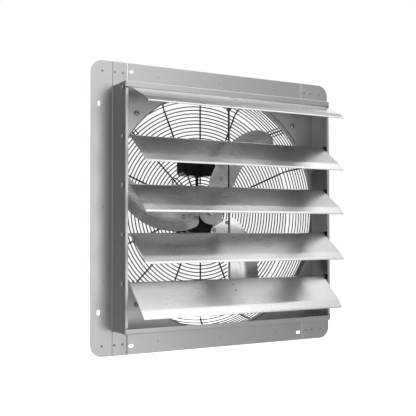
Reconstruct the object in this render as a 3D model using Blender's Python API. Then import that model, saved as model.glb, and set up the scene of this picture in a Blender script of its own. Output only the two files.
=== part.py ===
"""Wall shutter exhaust fan: flanged sheet-metal frame, five tied gravity louvers,
three-blade fan on a motor carried by a wire guard.

Frame of the part: origin at the centre of the air opening, on the back plane of
the mounting flange.  +X to the right seen from the louver side, +Y back through
the wall, +Z up.  Metres."""

import math

import bmesh
import bpy
from mathutils import Vector

# ---------------------------------------------------------------- dimensions
FLANGE = 0.350          # half width of the square mounting flange
FLANGE_R = 0.030        # corner radius of the flange
BOX_X = 0.295           # half width of the projecting box, outside
BOX_Z = 0.2915          # half height of the projecting box, outside
BOX_Y = -0.078          # front edge of the box
T = 0.0012              # frame sheet
LIP_SIDE = 0.0075       # front return lips
LIP_TOP = 0.0140
LIP_BOTTOM = 0.0120
TAB_X = 0.260           # inner end of the corner joggles
SLOT_OFF = 0.0203       # slot centre in from the flange edge
SLOT_AT = 0.246         # slot centres along each side
SLOT_W = 0.0080
SLOT_L = 0.0135

ORIFICE_R = 0.304       # air opening
PANEL = 0.322           # half width of the orifice panel
COLLAR = 0.020          # depth of the rolled collar
FOOT_AT = 0.231         # guard bolts, on the diagonals

PIVOT_Y = -0.0645       # louver pivots
PIVOT_TOP = 0.2780
PITCH = 0.1138
CHORD = (24.0, 35.2, 34.3, 35.4, 42.0)   # pivot-to-tip angle below horizontal, as left standing
LOUVER_X = 0.2800       # half length of a louver
LOUVER_T = 0.0010
ROD_R = 0.0025
PIN = (0.0165, -0.0270)  # tie-bar pin from its pivot, (Y, Z) at rest
PIN_R = 0.0016
CLOSE = 50.5            # travel of the middle louver, degrees
OPEN = -0.6             # the top louver then meets the top lip
SHUT = (85.0, 85.0, 84.8, 85.0, 80.4)    # chord angles when shut; the lowest meets the bottom lip

GUARD_Y = 0.1000        # face of the wire guard
GUARD_W = 0.0030        # ring wire
SPOKE_W = 0.0036
GUARD_T = 0.0024
FACE_RINGS = (0.0765, 0.1280, 0.1800, 0.2310, 0.2812)
SIDE_PATH = ((0.2860, 0.1000), (0.2940, 0.0978), (0.3015, 0.0915), (0.3060, 0.0820),
             (0.3110, 0.0560), (0.3150, 0.0320), (0.3175, 0.0042))

BLADES = (60.0, 180.0, 300.0)
BLADE_Y = 0.0400
BLADE_T = 0.0015


# ---------------------------------------------------------------- helpers
def clear():
    for obj in list(bpy.data.objects):
        bpy.data.objects.remove(obj, do_unlink=True)


MATS = {}


def material(name, colour, rough, metal):
    if name not in MATS:
        mat = bpy.data.materials.new(name)
        mat.use_nodes = True
        shader = mat.node_tree.nodes["Principled BSDF"]
        shader.inputs["Base Color"].default_value = (*colour, 1.0)
        shader.inputs["Roughness"].default_value = rough
        shader.inputs["Metallic"].default_value = metal
        mat.diffuse_color = (*colour, 1.0)
        MATS[name] = mat
    return MATS[name]


def own(base, piece):
    """The finish `base`, as a material of this piece's own."""
    colour, rough, metal = {
        "zinc": ((0.62, 0.63, 0.64), 0.38, 1.0),
        "aluminium": ((0.72, 0.73, 0.74), 0.30, 1.0),
        "blade": ((0.70, 0.71, 0.72), 0.28, 1.0),
        "wire": ((0.020, 0.020, 0.022), 0.45, 0.0),
        "black": ((0.018, 0.018, 0.020), 0.40, 0.0),
        "steel": ((0.55, 0.55, 0.56), 0.35, 1.0),
        "nylon": ((0.025, 0.025, 0.027), 0.50, 0.0),
        "rubber": ((0.015, 0.015, 0.016), 0.65, 0.0),
        "copper": ((0.60, 0.28, 0.14), 0.40, 0.6),
        "grey": ((0.30, 0.31, 0.32), 0.45, 0.0),
    }[base]
    return material(f"{piece}_{base}", colour, rough, metal)


def finish(name, bm, base, smooth=None):
    bmesh.ops.remove_doubles(bm, verts=bm.verts, dist=1e-7)
    bmesh.ops.recalc_face_normals(bm, faces=bm.faces)
    mesh = bpy.data.meshes.new(name)
    bm.to_mesh(mesh)
    bm.free()
    obj = bpy.data.objects.new(name, mesh)
    bpy.context.scene.collection.objects.link(obj)
    if base:
        mesh.materials.append(own(base, name))
    if smooth is not None:
        mesh.shade_smooth()
        mesh.set_sharp_from_angle(angle=math.radians(smooth))
    return obj


def place(obj, at):
    """Moves the object's origin to `at` without moving its shape."""
    shift = Vector(at)
    for vert in obj.data.vertices:
        vert.co -= shift
    obj.location = shift
    return obj


def helper(obj):
    obj.hide_render = True
    obj.display_type = "WIRE"
    return obj


def boolean(obj, other, how):
    mod = obj.modifiers.new(how.lower() + "_" + other.name, "BOOLEAN")
    mod.operation = how
    mod.object = other
    mod.solver = "EXACT"
    helper(other)
    other.parent = None
    return obj


def join_all(obj, others):
    for other in others:
        boolean(obj, other, "UNION")
    return obj


def plate(name, outline, holes, low, high, plane, base, smooth=None):
    """A flat plate: outline and holes are point loops, extruded from low to high.
    plane "xz" extrudes along Y, "yz" along X."""
    bm = bmesh.new()

    def at(p, d):
        return Vector((p[0], d, p[1])) if plane == "xz" else Vector((d, p[0], p[1]))

    edges = []
    for loop in [outline] + list(holes):
        verts = [bm.verts.new(at(p, low)) for p in loop]
        edges += [bm.edges.new((verts[i], verts[(i + 1) % len(verts)])) for i in range(len(verts))]
    bmesh.ops.triangle_fill(bm, use_beauty=True, use_dissolve=False, edges=edges)
    made = bmesh.ops.extrude_face_region(bm, geom=bm.faces[:])
    moved = [g for g in made["geom"] if isinstance(g, bmesh.types.BMVert)]
    bmesh.ops.translate(bm, verts=moved, vec=at((0, 0), high - low))
    return finish(name, bm, base, smooth)


def circle(cx, cz, r, n, start=0.0):
    return [(cx + r * math.cos(start + 2 * math.pi * i / n), cz + r * math.sin(start + 2 * math.pi * i / n)) for i in range(n)]


def slot(cx, cz, length, width, along, n=5):
    """A round-ended slot as a loop of points."""
    half = (length - width) / 2
    pts = []
    for side in (0, 1):
        for i in range(n + 1):
            a = -math.pi / 2 + math.pi * i / n + math.pi * side
            u = (half if side == 0 else -half) + width / 2 * math.cos(a)
            v = width / 2 * math.sin(a)
            pts.append((cx + u, cz + v) if along == "x" else (cx - v, cz + u))
    return pts


def rounded(x0, z0, x1, z1, radii, n=6):
    """A rectangle with corner radii (lower left, lower right, upper right, upper left)."""
    pts = []
    corners = ((x0, z0, 1, 1, 180), (x1, z0, -1, 1, 270), (x1, z1, -1, -1, 0), (x0, z1, 1, -1, 90))
    for (cx, cz, sx, sz, start), r in zip(corners, radii):
        if r <= 0:
            pts.append((cx, cz))
            continue
        for i in range(n + 1):
            a = math.radians(start + 90 * i / n)
            pts.append((cx + sx * r + r * math.cos(a), cz + sz * r + r * math.sin(a)))
    return pts


def box(name, low, high, base):
    return plate(name, [(low[0], low[2]), (high[0], low[2]), (high[0], high[2]), (low[0], high[2])], [],
                 low[1], high[1], "xz", base)


def revolve(name, profile, n, base, axis="y", centre=(0, 0, 0), start=0.0, smooth=40):
    """A closed (radius, along) profile turned about the axis through centre."""
    bm = bmesh.new()
    rings = []
    for r, a in profile:
        ring = []
        for i in range(n if r > 0 else 1):
            t = start + 2 * math.pi * i / n
            u, v = r * math.cos(t), r * math.sin(t)
            p = (u, a, v) if axis == "y" else (a, u, v) if axis == "x" else (u, v, a)
            ring.append(bm.verts.new(Vector(p) + Vector(centre)))
        rings.append(ring)
    for k in range(len(rings)):
        one, two = rings[k], rings[(k + 1) % len(rings)]
        if len(one) == 1 and len(two) == 1:
            continue
        for i in range(n):
            j = (i + 1) % n
            loop = [one[i % len(one)], one[j % len(one)], two[j % len(two)], two[i % len(two)]]
            loop = [v for m, v in enumerate(loop) if v not in loop[:m]]
            bm.faces.new(loop)
    return finish(name, bm, base, smooth)


def thick(points, t):
    """The closed outline of a bent sheet of thickness t about a line of points."""
    left, right = [], []
    for i, p in enumerate(points):
        before = Vector(points[i - 1]) if i else None
        after = Vector(points[i + 1]) if i + 1 < len(points) else None
        here = Vector(p)
        d1 = (here - before).normalized() if before else (after - here).normalized()
        d2 = (after - here).normalized() if after else d1
        n1, n2 = Vector((-d1.y, d1.x)), Vector((-d2.y, d2.x))
        mid = (n1 + n2).normalized()
        reach = t / 2 / max(0.4, mid.dot(n1))
        left.append(tuple(here + mid * reach))
        right.append(tuple(here - mid * reach))
    return left + right[::-1]


# ---------------------------------------------------------------- frame rails
def side_rail(name, s):
    """Left (s = -1) or right (s = +1) rail: flange with rounded outer corners and
    joggled ends, box wall with five bush holes, front return lip."""
    lo, hi = -FLANGE, FLANGE
    pts = [(BOX_X - 0.0011, -BOX_Z), (TAB_X, -BOX_Z - 0.0008), (TAB_X, lo)]
    for i in range(7):
        a = math.radians(-90 + 15 * i)
        pts.append((FLANGE - FLANGE_R + FLANGE_R * math.cos(a), lo + FLANGE_R + FLANGE_R * math.sin(a)))
    for i in range(7):
        a = math.radians(15 * i)
        pts.append((FLANGE - FLANGE_R + FLANGE_R * math.cos(a), hi - FLANGE_R + FLANGE_R * math.sin(a)))
    pts += [(TAB_X, hi), (TAB_X, BOX_Z + 0.0008), (BOX_X - 0.0011, BOX_Z)]
    pts = [(s * x, z) for x, z in pts]
    holes = [slot(s * (FLANGE - SLOT_OFF), z, SLOT_L, SLOT_W, "z") for z in (-SLOT_AT, SLOT_AT)]
    rail = plate(name, pts, holes, -T, 0.0, "xz", "zinc")
    pivots = [circle(PIVOT_Y, PIVOT_TOP - k * PITCH, 0.0046, 12) for k in range(5)]
    wall = plate(name + "_wall", [(BOX_Y, -BOX_Z + 0.0016), (-T / 2, -BOX_Z + 0.0016), (-T / 2, BOX_Z - 0.0016), (BOX_Y, BOX_Z - 0.0016)],
                 pivots, min(s * BOX_X, s * (BOX_X - T)), max(s * BOX_X, s * (BOX_X - T)), "yz", None)
    xs = sorted((s * (BOX_X - T / 2), s * (BOX_X - LIP_SIDE)))
    lip = box(name + "_lip", (xs[0], BOX_Y + 0.00005, -BOX_Z + 0.0150), (xs[1], BOX_Y + T, BOX_Z - 0.0170), None)
    return join_all(rail, [wall, lip])


def end_rail(name, s):
    """Top (s = +1) or bottom (s = -1) rail: flange between the side rails, joggled
    over their ends, box wall and front return lip."""
    lip_h = LIP_TOP if s > 0 else LIP_BOTTOM
    z0, z1 = sorted((s * (BOX_Z - 0.0011), s * FLANGE))
    # the top rail has a slot at its left end only
    at = (-SLOT_AT,) if s > 0 else (-SLOT_AT, SLOT_AT)
    holes = [slot(x, s * (FLANGE - SLOT_OFF), SLOT_L, SLOT_W, "x") for x in at]
    reach = TAB_X - 0.0006
    rail = plate(name, [(-reach, z0), (reach, z0), (reach, z1), (-reach, z1)], holes, -T, 0.0, "xz", "zinc")
    more = []
    for e in (-1, 1):
        xs = sorted((e * (reach - 0.0030), e * BOX_X))
        zs = sorted((s * (BOX_Z + 0.0006), s * (FLANGE - 0.0002)))
        more.append(box(f"{name}_tab{e}", (xs[0], -2 * T - 0.0003, zs[0]), (xs[1], -T - 0.0003, zs[1]), None))
        xs = sorted((e * (reach - 0.0029), e * (reach - 0.0002)))
        more.append(box(f"{name}_step{e}", (xs[0], -2 * T - 0.0001, zs[0] + 0.0002), (xs[1], -T / 2, zs[1] - 0.0002), None))
    zs = sorted((s * BOX_Z, s * (BOX_Z - T)))
    inner = BOX_X - T - 0.0005
    more.append(box(name + "_wall", (-inner, BOX_Y, zs[0]), (inner, -T / 2, zs[1]), None))
    zs = sorted((s * (BOX_Z - T / 2), s * (BOX_Z - lip_h)))
    more.append(box(name + "_lip", (-inner + 0.0001, BOX_Y + 0.00005, zs[0]), (inner - 0.0001, BOX_Y + T, zs[1]), None))
    return join_all(rail, more)


# ---------------------------------------------------------------- panel, guard
def venturi_panel():
    n = 64
    holes = [circle(0, 0, ORIFICE_R + T / 2, n)]
    holes += [circle(a * FOOT_AT, b * FOOT_AT, 0.0036, 10) for a in (-1, 1) for b in (-1, 1)]
    sheet = plate("venturi_panel", rounded(-PANEL, -PANEL, PANEL, PANEL, (0.012,) * 4, 3), holes, 0.0003, 0.0003 + T, "xz", "zinc", 30)
    r0, r1 = ORIFICE_R, ORIFICE_R + T
    collar = revolve("venturi_collar", [(r0, 0.00035), (r1, 0.00035), (r1, COLLAR), (r0, COLLAR)], n, None)
    return boolean(sheet, collar, "UNION")


def lattice(name, path, bands, spokes, seg, widths, base):
    """A welded wire grid as one closed lattice. path is a (radius, along Y) line;
    bands are (from, to) stretches of its length that hold a ring."""
    length = [0.0]
    for a, b in zip(path, path[1:]):
        length.append(length[-1] + math.dist(a, b))

    def on_path(s):
        for k in range(len(path) - 1):
            if s <= length[k + 1] or k == len(path) - 2:
                f = (s - length[k]) / (length[k + 1] - length[k])
                a, b = Vector(path[k]), Vector(path[k + 1])
                d = (b - a).normalized()
                return a.lerp(b, f), Vector((-d.y, d.x))

    stations = sorted(s for band in bands for s in band)
    stations += [s for s in length if min(abs(s - q) for q in stations) > 0.0004 and stations[0] < s < stations[-1]]
    stations.sort()
    kept_ring = [any(a < (p + q) / 2 < b for a, b in bands) for p, q in zip(stations, stations[1:])]
    columns = []
    for k in range(spokes):
        mid = 2 * math.pi * k / spokes
        columns.append((mid, -1))
        columns.append((mid, 1))
        for j in range(1, seg):
            columns.append((mid + 2 * math.pi * j / spokes / seg, 0))
    kept_spoke = [side == -1 for _, side in columns]
    bm = bmesh.new()
    grid = {}
    for i, s in enumerate(stations):
        p, normal = on_path(s)
        for j, (ang, side) in enumerate(columns):
            a = ang + side * math.asin(widths / 2 / p.x)
            for layer in (-1, 1):
                q = p + normal * (layer * GUARD_T / 2)
                grid[i, j, layer] = bm.verts.new((q.x * math.cos(a), q.y, q.x * math.sin(a)))
    rows, cols = len(stations) - 1, len(columns)

    def kept(i, j):
        return 0 <= i < rows and (kept_ring[i] or kept_spoke[j % cols])

    for i in range(rows):
        for j in range(cols):
            if not kept(i, j):
                continue
            k = (j + 1) % cols
            quad = [(i, j), (i, k), (i + 1, k), (i + 1, j)]
            for layer in (-1, 1):
                bm.faces.new([grid[a, b, layer] for a, b in quad])
            for (ni, nj), (p, q) in (((i - 1, j), (quad[0], quad[1])), ((i + 1, j), (quad[3], quad[2])),
                                     ((i, j - 1), (quad[0], quad[3])), ((i, j + 1), (quad[1], quad[2]))):
                if not kept(ni, nj):
                    bm.faces.new([grid[(*p, -1)], grid[(*q, -1)], grid[(*q, 1)], grid[(*p, 1)]])
    used = {v for f in bm.faces for v in f.verts}
    for v in [v for v in bm.verts if v not in used]:
        bm.verts.remove(v)
    return finish(name, bm, base)


def guard():
    rings = [(r - GUARD_W / 2, r + GUARD_W / 2) for r in FACE_RINGS]
    first = rings[0][0]
    face = lattice("guard_face", [(first, GUARD_Y), (rings[-1][1], GUARD_Y)],
                   [(a - first, b - first) for a, b in rings], 16, 2, SPOKE_W, "wire")
    pads = []
    for k in range(4):
        a = math.radians(45 + 90 * k)
        c, s = math.cos(a), math.sin(a)

        def turn(u, v):
            return (u * c - v * s, u * s + v * c)

        outline = [turn(u, v) for u, v in ((0.0758, -0.0075), (0.0940, -0.0075), (0.0940, 0.0075), (0.0758, 0.0075))]
        pads.append(plate(f"guard_pad_{k}", outline, [], GUARD_Y - GUARD_T / 2 + 0.0001, GUARD_Y + GUARD_T / 2 - 0.0001, "xz", None))
    for pad in pads:
        boolean(face, pad, "UNION")
    for k in range(4):
        boolean(face, pad_bore(k), "DIFFERENCE")
    total = sum(math.dist(a, b) for a, b in zip(SIDE_PATH, SIDE_PATH[1:]))
    w = GUARD_W
    side = lattice("guard_side", SIDE_PATH, [(0, w), (0.0245, 0.0245 + w), (0.0600, 0.0600 + w), (total - w, total)], 16, 2, SPOKE_W, "wire")
    for k, (a, b) in enumerate(((1, 1), (-1, 1), (-1, -1), (1, -1))):
        d = Vector((a, b)).normalized()
        v = Vector((-d.y, d.x))
        mid = d * (FOOT_AT * math.sqrt(2))
        outline = [tuple(mid + d * p + v * q) for p, q in ((-0.0105, -0.0100), (0.0105, -0.0100), (0.0105, 0.0100), (-0.0105, 0.0100))]
        foot = plate(f"guard_foot_{k}", outline, [circle(mid.x, mid.y, 0.0036, 8)], 0.0036, 0.0060, "xz", None)
        boolean(side, foot, "UNION")
    return face, side


def pad_bore(k):
    """Cutter for the bolt hole of a guard pad, through the spoke it lies on."""
    a = math.radians(45 + 90 * k)
    return revolve(f"guard_pad_bore_{k}", [(0, GUARD_Y - 0.004), (0.0029, GUARD_Y - 0.004), (0.0029, GUARD_Y + 0.004), (0, GUARD_Y + 0.004)],
                   8, None, centre=(0.0850 * math.cos(a), 0, 0.0850 * math.sin(a)), start=0.1)


def guard_bolt(k, a, b):
    """Bolt through the panel and a guard foot, with its nut run on behind."""
    prof = [(0, -0.0042), (0.0066, -0.0042), (0.0070, -0.0034), (0.0070, 0.0000), (0.0032, 0.0000), (0.0032, 0.0064),
            (0.0058, 0.0064), (0.0058, 0.0112), (0.0030, 0.0112), (0.0030, 0.0140), (0, 0.0140)]
    bolt = revolve(f"guard_bolt_{k}", prof, 12, "steel", centre=(a * FOOT_AT, 0, b * FOOT_AT))
    return place(bolt, (a * FOOT_AT, 0, b * FOOT_AT))


# ---------------------------------------------------------------- motor
def motor():
    n = 24
    cap = revolve("motor_front_cap", [
        (0.0100, 0.0760), (0.0200, 0.0760), (0.0215, 0.0820), (0.0480, 0.0850), (0.0560, 0.0900), (0.0560, 0.0972),
        (0.0680, 0.0972), (0.0680, 0.1060), (0.0640, 0.1060), (0.0640, 0.1010), (0.0520, 0.1010), (0.0520, 0.0930), (0.0465, 0.0890),
        (0.0153, 0.0870), (0.0153, 0.0800), (0.0100, 0.0800)], n, "black")
    for k in range(4):
        a = math.radians(45 + 90 * k)
        c, s = math.cos(a), math.sin(a)

        def turn(u, v):
            return (u * c - v * s, u * s + v * c)

        ear = plate(f"motor_ear_{k}", [turn(u, v) for u, v in ((0.0655, -0.0070), (0.0930, -0.0070), (0.0930, 0.0070), (0.0655, 0.0070))],
                    [circle(*turn(0.0850, 0), 0.0029, 8)], 0.1016, 0.1050, "xz", None)
        boolean(cap, ear, "UNION")
    lead_hole = revolve("motor_lead_bore", [(0, 0.055), (0.0048, 0.055), (0.0048, 0.080), (0, 0.080)], 12, None, axis="z", centre=(0, 0.1200, 0))
    shell = revolve("motor_housing", [(0.0655, 0.1063), (0.0680, 0.1063), (0.0680, 0.1720), (0.0655, 0.1720)], n, "black")
    boolean(shell, lead_hole, "DIFFERENCE")
    rear = revolve("motor_rear_cap", [
        (0, 0.1960), (0.0280, 0.1960), (0.0560, 0.1910), (0.0680, 0.1830), (0.0680, 0.1723), (0.0640, 0.1723),
        (0.0640, 0.1800), (0.0540, 0.1870), (0.0153, 0.1870), (0.0153, 0.1925), (0, 0.1925)], n, "black")
    revolve("stator", [(0.0420, 0.1090), (0.0600, 0.1090), (0.0650, 0.1190), (0.0650, 0.1600), (0.0600, 0.1690), (0.0420, 0.1690), (0.0400, 0.1600), (0.0400, 0.1190)], 24, "copper")
    revolve("rotor_core", [(0.0063, 0.1160), (0.0392, 0.1160), (0.0392, 0.1620), (0.0063, 0.1620)], 24, "steel")
    revolve("motor_shaft", [(0, 0.0210), (0.0052, 0.0210), (0.0060, 0.0218), (0.0060, 0.1850), (0, 0.1850)], 16, "steel")
    for name, y in (("front_bearing", 0.0803), ("rear_bearing", 0.1750)):
        revolve(name, [(0.0064, y), (0.0150, y), (0.0150, y + 0.0095), (0.0064, y + 0.0095)], 16, "steel")
    for k in range(4):
        a = math.radians(45 + 90 * k)
        at = (0.0850 * math.cos(a), 0, 0.0850 * math.sin(a))
        bolt = revolve(f"motor_bolt_{k + 1}", [(0, 0.0945), (0.0045, 0.0945), (0.0048, 0.0985), (0.0025, 0.0985), (0.0025, 0.1053), (0.0045, 0.1053), (0.0045, 0.1090), (0, 0.1090)],
                       8, "steel", centre=at)
        place(bolt, at)
    return cap, rear


def junction():
    x, z0, z1, y0, y1, w = 0.0480, 0.0930, 0.1650, 0.1020, 0.1440, 0.0016
    out = rounded(-x, z0, x, z1, (0.010, 0.010, 0.006, 0.006), 2)
    inn = rounded(-x + w, z0 + w, x - w, z1 - w, (0.0085, 0.0085, 0.005, 0.005), 2)
    body = plate("junction_box", out, [], y0, y1, "xz", "black")
    boolean(body, plate("junction_hollow", inn, [], y0 + w, y1 + 0.010, "xz", None), "DIFFERENCE")
    boolean(body, revolve("junction_bore", [(0, z0 - 0.005), (0.0063, z0 - 0.005), (0.0063, z0 + 0.006), (0, z0 + 0.006)], 12, None, axis="z", centre=(0, 0.1200, 0)), "DIFFERENCE")
    boolean(body, revolve("junction_inlet", [(0, z1 - 0.006), (0.0103, z1 - 0.006), (0.0103, z1 + 0.006), (0, z1 + 0.006)], 12, None, axis="z", centre=(0, 0.1200, 0)), "DIFFERENCE")
    plate("junction_box_lid", rounded(-x, z0, x, z1, (0.010, 0.010, 0.006, 0.006), 2), [], y1 + 0.0003, y1 + 0.0022, "xz", "black")
    revolve("run_capacitor", [(0, -0.0300), (0.0145, -0.0300), (0.0145, 0.0300), (0, 0.0300)], 16, "grey", axis="x", centre=(0.0080, 0.1230, 0.1340))
    revolve("lead_grommet", [(0.0046, z0 - 0.0035), (0.0085, z0 - 0.0035), (0.0085, z0 - 0.0003), (0.0058, z0 - 0.0003), (0.0058, z0 + 0.0035), (0.0046, z0 + 0.0035)],
            12, "rubber", axis="z", centre=(0, 0.1200, 0))
    revolve("inlet_gland", [(0.0045, z1 - 0.004), (0.0100, z1 - 0.004), (0.0100, z1 + 0.0003), (0.0140, z1 + 0.0003), (0.0140, z1 + 0.0060), (0.0095, z1 + 0.0060), (0.0095, z1 + 0.0150), (0.0045, z1 + 0.0150)],
            12, "nylon", axis="z", centre=(0, 0.1200, 0))
    curve = bpy.data.curves.new("motor_lead", "CURVE")
    curve.dimensions = "3D"
    curve.bevel_depth = 0.0042
    curve.bevel_resolution = 2
    curve.use_fill_caps = True
    spline = curve.splines.new("POLY")
    count = 6
    spline.points.add(count - 1)
    for i in range(count):
        f = i / (count - 1)
        spline.points[i].co = (0, 0.1200, 0.0660 + f * (z0 + 0.0100 - 0.0660), 1)
    lead = bpy.data.objects.new("motor_lead", curve)
    curve.materials.append(own("rubber", "motor_lead"))
    bpy.context.scene.collection.objects.link(lead)


# ---------------------------------------------------------------- fan
def ease(x):
    x = min(1.0, max(0.0, x))
    return x * x * (3 - 2 * x)


def line(points, u):
    """Smooth curve through (u, value) points."""
    if u <= points[0][0]:
        return points[0][1]
    for k in range(len(points) - 1):
        (a, p), (b, q) = points[k], points[k + 1]
        if u <= b:
            before = points[k - 1] if k else points[k]
            after = points[k + 2] if k + 2 < len(points) else points[k + 1]
            h = b - a
            m0 = (q - before[1]) / (b - before[0]) * h
            m1 = (after[1] - p) / (after[0] - a) * h
            t = (u - a) / h
            return ((2 * t**3 - 3 * t**2 + 1) * p + (t**3 - 2 * t**2 + t) * m0 + (-2 * t**3 + 3 * t**2) * q + (t**3 - t**2) * m1)
    return points[-1][1]


ROOT_PITCH = 0.20       # slope of the spider's arms and of the blade roots on them
TRAIL = ((0.042, 0.0330), (0.047, 0.0410), (0.056, 0.0460), (0.086, 0.0530), (0.126, 0.0550), (0.175, 0.0460), (0.214, 0.0285), (0.240, 0.0090))
LEAD = ((0.042, -0.0200), (0.047, -0.0265), (0.056, -0.0290), (0.093, -0.0285), (0.148, -0.0270), (0.181, -0.043), (0.210, -0.060), (0.235, -0.078), (0.2500, -0.0920))
CREASE = ((0.038, 0.040), (0.085, 0.036), (0.111, 0.027), (0.144, 0.018), (0.179, 0.008), (0.205, -0.007), (0.234, -0.031), (0.2600, -0.050))
TIP_R = 0.2750


def blade_y(u, v):
    """Depth of the blade sheet: a root as pitched as its arm, a shallow pitch that grows
    outwards, and the trailing part turned towards the louvers along the crease line."""
    c = line(CREASE, u)
    y = BLADE_Y - ROOT_PITCH * v * (1 - ease((u - 0.098) / 0.050)) + 0.140 * ease((u - 0.094) / 0.050) * max(0.0, c - v) * ease((c - v) / 0.030)
    over = v - c
    soft = 0.010
    bend = (over if over > soft else (over + soft) ** 2 / (4 * soft)) if over > -soft else 0.0
    return y - 0.46 * ease((u - 0.060) / 0.080) * bend


def blade_outline(s, t):
    """Plan of the blade: s runs from root to tip, t from leading to trailing edge."""
    u_t = 0.042 + (0.240 - 0.042) * s
    u_l = 0.042 + (0.2500 - 0.042) * s
    a = Vector((u_l, line(LEAD, u_l)))
    b = Vector((u_t, line(TRAIL, u_t)))
    p = a.lerp(b, t)
    bulge = math.sin(math.pi * t) ** 0.9 * 0.0260 * s**3
    d = Vector((0.92, -0.20)).normalized()
    return p + d * bulge


def blade(k, angle):
    a = math.radians(angle)
    rows, cols = 11, 9
    bm = bmesh.new()
    mid = []
    for i in range(rows + 1):
        line_ = []
        for j in range(cols + 1):
            p = blade_outline(i / rows, j / cols)
            line_.append(Vector((p.x, blade_y(p.x, p.y), p.y)))
        mid.append(line_)
    grid = {}
    for i in range(rows + 1):
        for j in range(cols + 1):
            du = mid[min(i + 1, rows)][j] - mid[max(i - 1, 0)][j]
            dv = mid[i][min(j + 1, cols)] - mid[i][max(j - 1, 0)]
            normal = dv.cross(du).normalized()
            for layer in (-1, 1):
                q = mid[i][j] + normal * (layer * BLADE_T / 2)
                grid[i, j, layer] = bm.verts.new((q.x * math.cos(a) - q.z * math.sin(a), q.y, q.x * math.sin(a) + q.z * math.cos(a)))
    for i in range(rows):
        for j in range(cols):
            for layer in (-1, 1):
                bm.faces.new([grid[i, j, layer], grid[i + 1, j, layer], grid[i + 1, j + 1, layer], grid[i, j + 1, layer]])
    rim = [(i, 0) for i in range(rows)] + [(rows, j) for j in range(cols)] + [(i, cols) for i in range(rows, 0, -1)] + [(0, j) for j in range(cols, 0, -1)]
    for m, p in enumerate(rim):
        q = rim[(m + 1) % len(rim)]
        bm.faces.new([grid[(*p, -1)], grid[(*q, -1)], grid[(*q, 1)], grid[(*p, 1)]])
    return finish(f"fan_blade_{k}", bm, "blade", 40)


def hub():
    y = BLADE_Y + BLADE_T / 2 + 0.0004
    revolve("fan_hub", [(0.0063, 0.0270), (0.0150, 0.0270), (0.0160, 0.0280), (0.0160, y + 0.0033), (0.0340, y + 0.0033), (0.0340, y + 0.0063), (0.0160, y + 0.0063), (0.0160, 0.0620), (0.0063, 0.0620)], 20, "steel")
    # spider: a round disc with three arms, each twisted just outside the disc
    bm = bmesh.new()
    flat, sides, patches = [], [], []
    for angle in BLADES:
        a = math.radians(angle)
        c, s = math.cos(a), math.sin(a)

        def corner(u, v):
            d = -ROOT_PITCH * v * ease((u - 0.0335) / 0.0085)
            return [bm.verts.new((u * c - v * s, y + d + up, u * s + v * c)) for up in (0.0, 0.0030)]

        n0, n1, n2 = corner(0.0335, -0.0165), corner(0.0335, 0.0), corner(0.0335, 0.0165)
        w0, w1, w2 = corner(0.0420, -0.0150), corner(0.0420, 0.0), corner(0.0420, 0.0150)
        end = [corner(u, v) for u, v in ((0.0480, -0.0240), (0.0920, -0.0200), (0.0960, -0.0160), (0.0960, 0.0160), (0.0920, 0.0200), (0.0480, 0.0240))]
        patches += [(n0, w0, w1), (n0, w1, n1), (n1, w1, w2), (n1, w2, n2), (w0, *end, w2, w1)]
        arc = []
        for j in range(5):
            b = math.radians(angle + 28 + 16 * j)
            arc.append([bm.verts.new((0.0380 * math.cos(b), y + up, 0.0380 * math.sin(b))) for up in (0.0, 0.0030)])
        flat += [n0, n1, n2, *arc]
        sides += [n0, w0, *end, w2, n2, *arc]
    for layer in (0, 1):
        bm.faces.new([p[layer] for p in flat])
        for patch in patches:
            bm.faces.new([p[layer] for p in patch])
    for i, p in enumerate(sides):
        q = sides[(i + 1) % len(sides)]
        bm.faces.new((p[0], q[0], q[1], p[1]))
    spider = finish("hub_spider", bm, "steel")
    bore = revolve("spider_bore", [(0, y - 0.0020), (0.0164, y - 0.0020), (0.0164, y + 0.0050), (0, y + 0.0050)], 20, None)
    boolean(spider, bore, "DIFFERENCE")


# ---------------------------------------------------------------- louvers
def louver_axes(k):
    a = math.radians(CHORD[k])
    return Vector((-math.cos(a), -math.sin(a))), Vector((-math.sin(a), math.cos(a)))


def louver_point(k, along, up):
    c, n = louver_axes(k)
    p = c * along + n * up
    return (PIVOT_Y + p.x, PIVOT_TOP - k * PITCH + p.y)


def louver(k):
    """Bent sheet: hem wrapped round the pivot rod, flat blade, turned front lip."""
    r = ROD_R + 0.0003 + LOUVER_T / 2
    line_ = [(r * math.cos(math.radians(a)), r * math.sin(math.radians(a))) for a in (-75, -110, -145, 180, 145, 112)]
    line_ += [(0.0030, 0.0038), (0.0865, 0.0045), (0.0945, 0.0035), (0.1116, -0.0003)]
    prof = [louver_point(k, *p) for p in thick(line_, LOUVER_T)]
    obj = plate(f"louver_{k + 1}", prof, [], -LOUVER_X, LOUVER_X, "yz", "aluminium")
    return place(obj, (0, PIVOT_Y, PIVOT_TOP - k * PITCH))


def rod(k):
    at = (0, PIVOT_Y, PIVOT_TOP - k * PITCH)
    obj = revolve(f"louver_rod_{k + 1}", [(0, -0.2990), (0.0021, -0.2990), (ROD_R, -0.2984), (ROD_R, 0.2984), (0.0021, 0.2990), (0, 0.2990)], 10, "steel", axis="x", centre=at)
    return place(obj, at)


def bush(k, s):
    """Flanged pivot bush, snapped through the side wall."""
    at = (0, PIVOT_Y, PIVOT_TOP - k * PITCH)
    inner = BOX_X - T
    prof = [(0.0028, 0.2870), (0.0055, 0.2870), (0.0068, 0.2905), (0.0068, inner - 0.0003), (0.0041, inner - 0.0003), (0.0041, BOX_X + 0.0003),
            (0.0050, BOX_X + 0.0003), (0.0045, BOX_X + 0.0018), (0.0028, BOX_X + 0.0018)]
    obj = revolve(f"pivot_bush_{'left' if s < 0 else 'right'}_{k + 1}", [(r, s * x) for r, x in prof], 10, "nylon", axis="x", centre=at)
    return place(obj, at)


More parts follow.
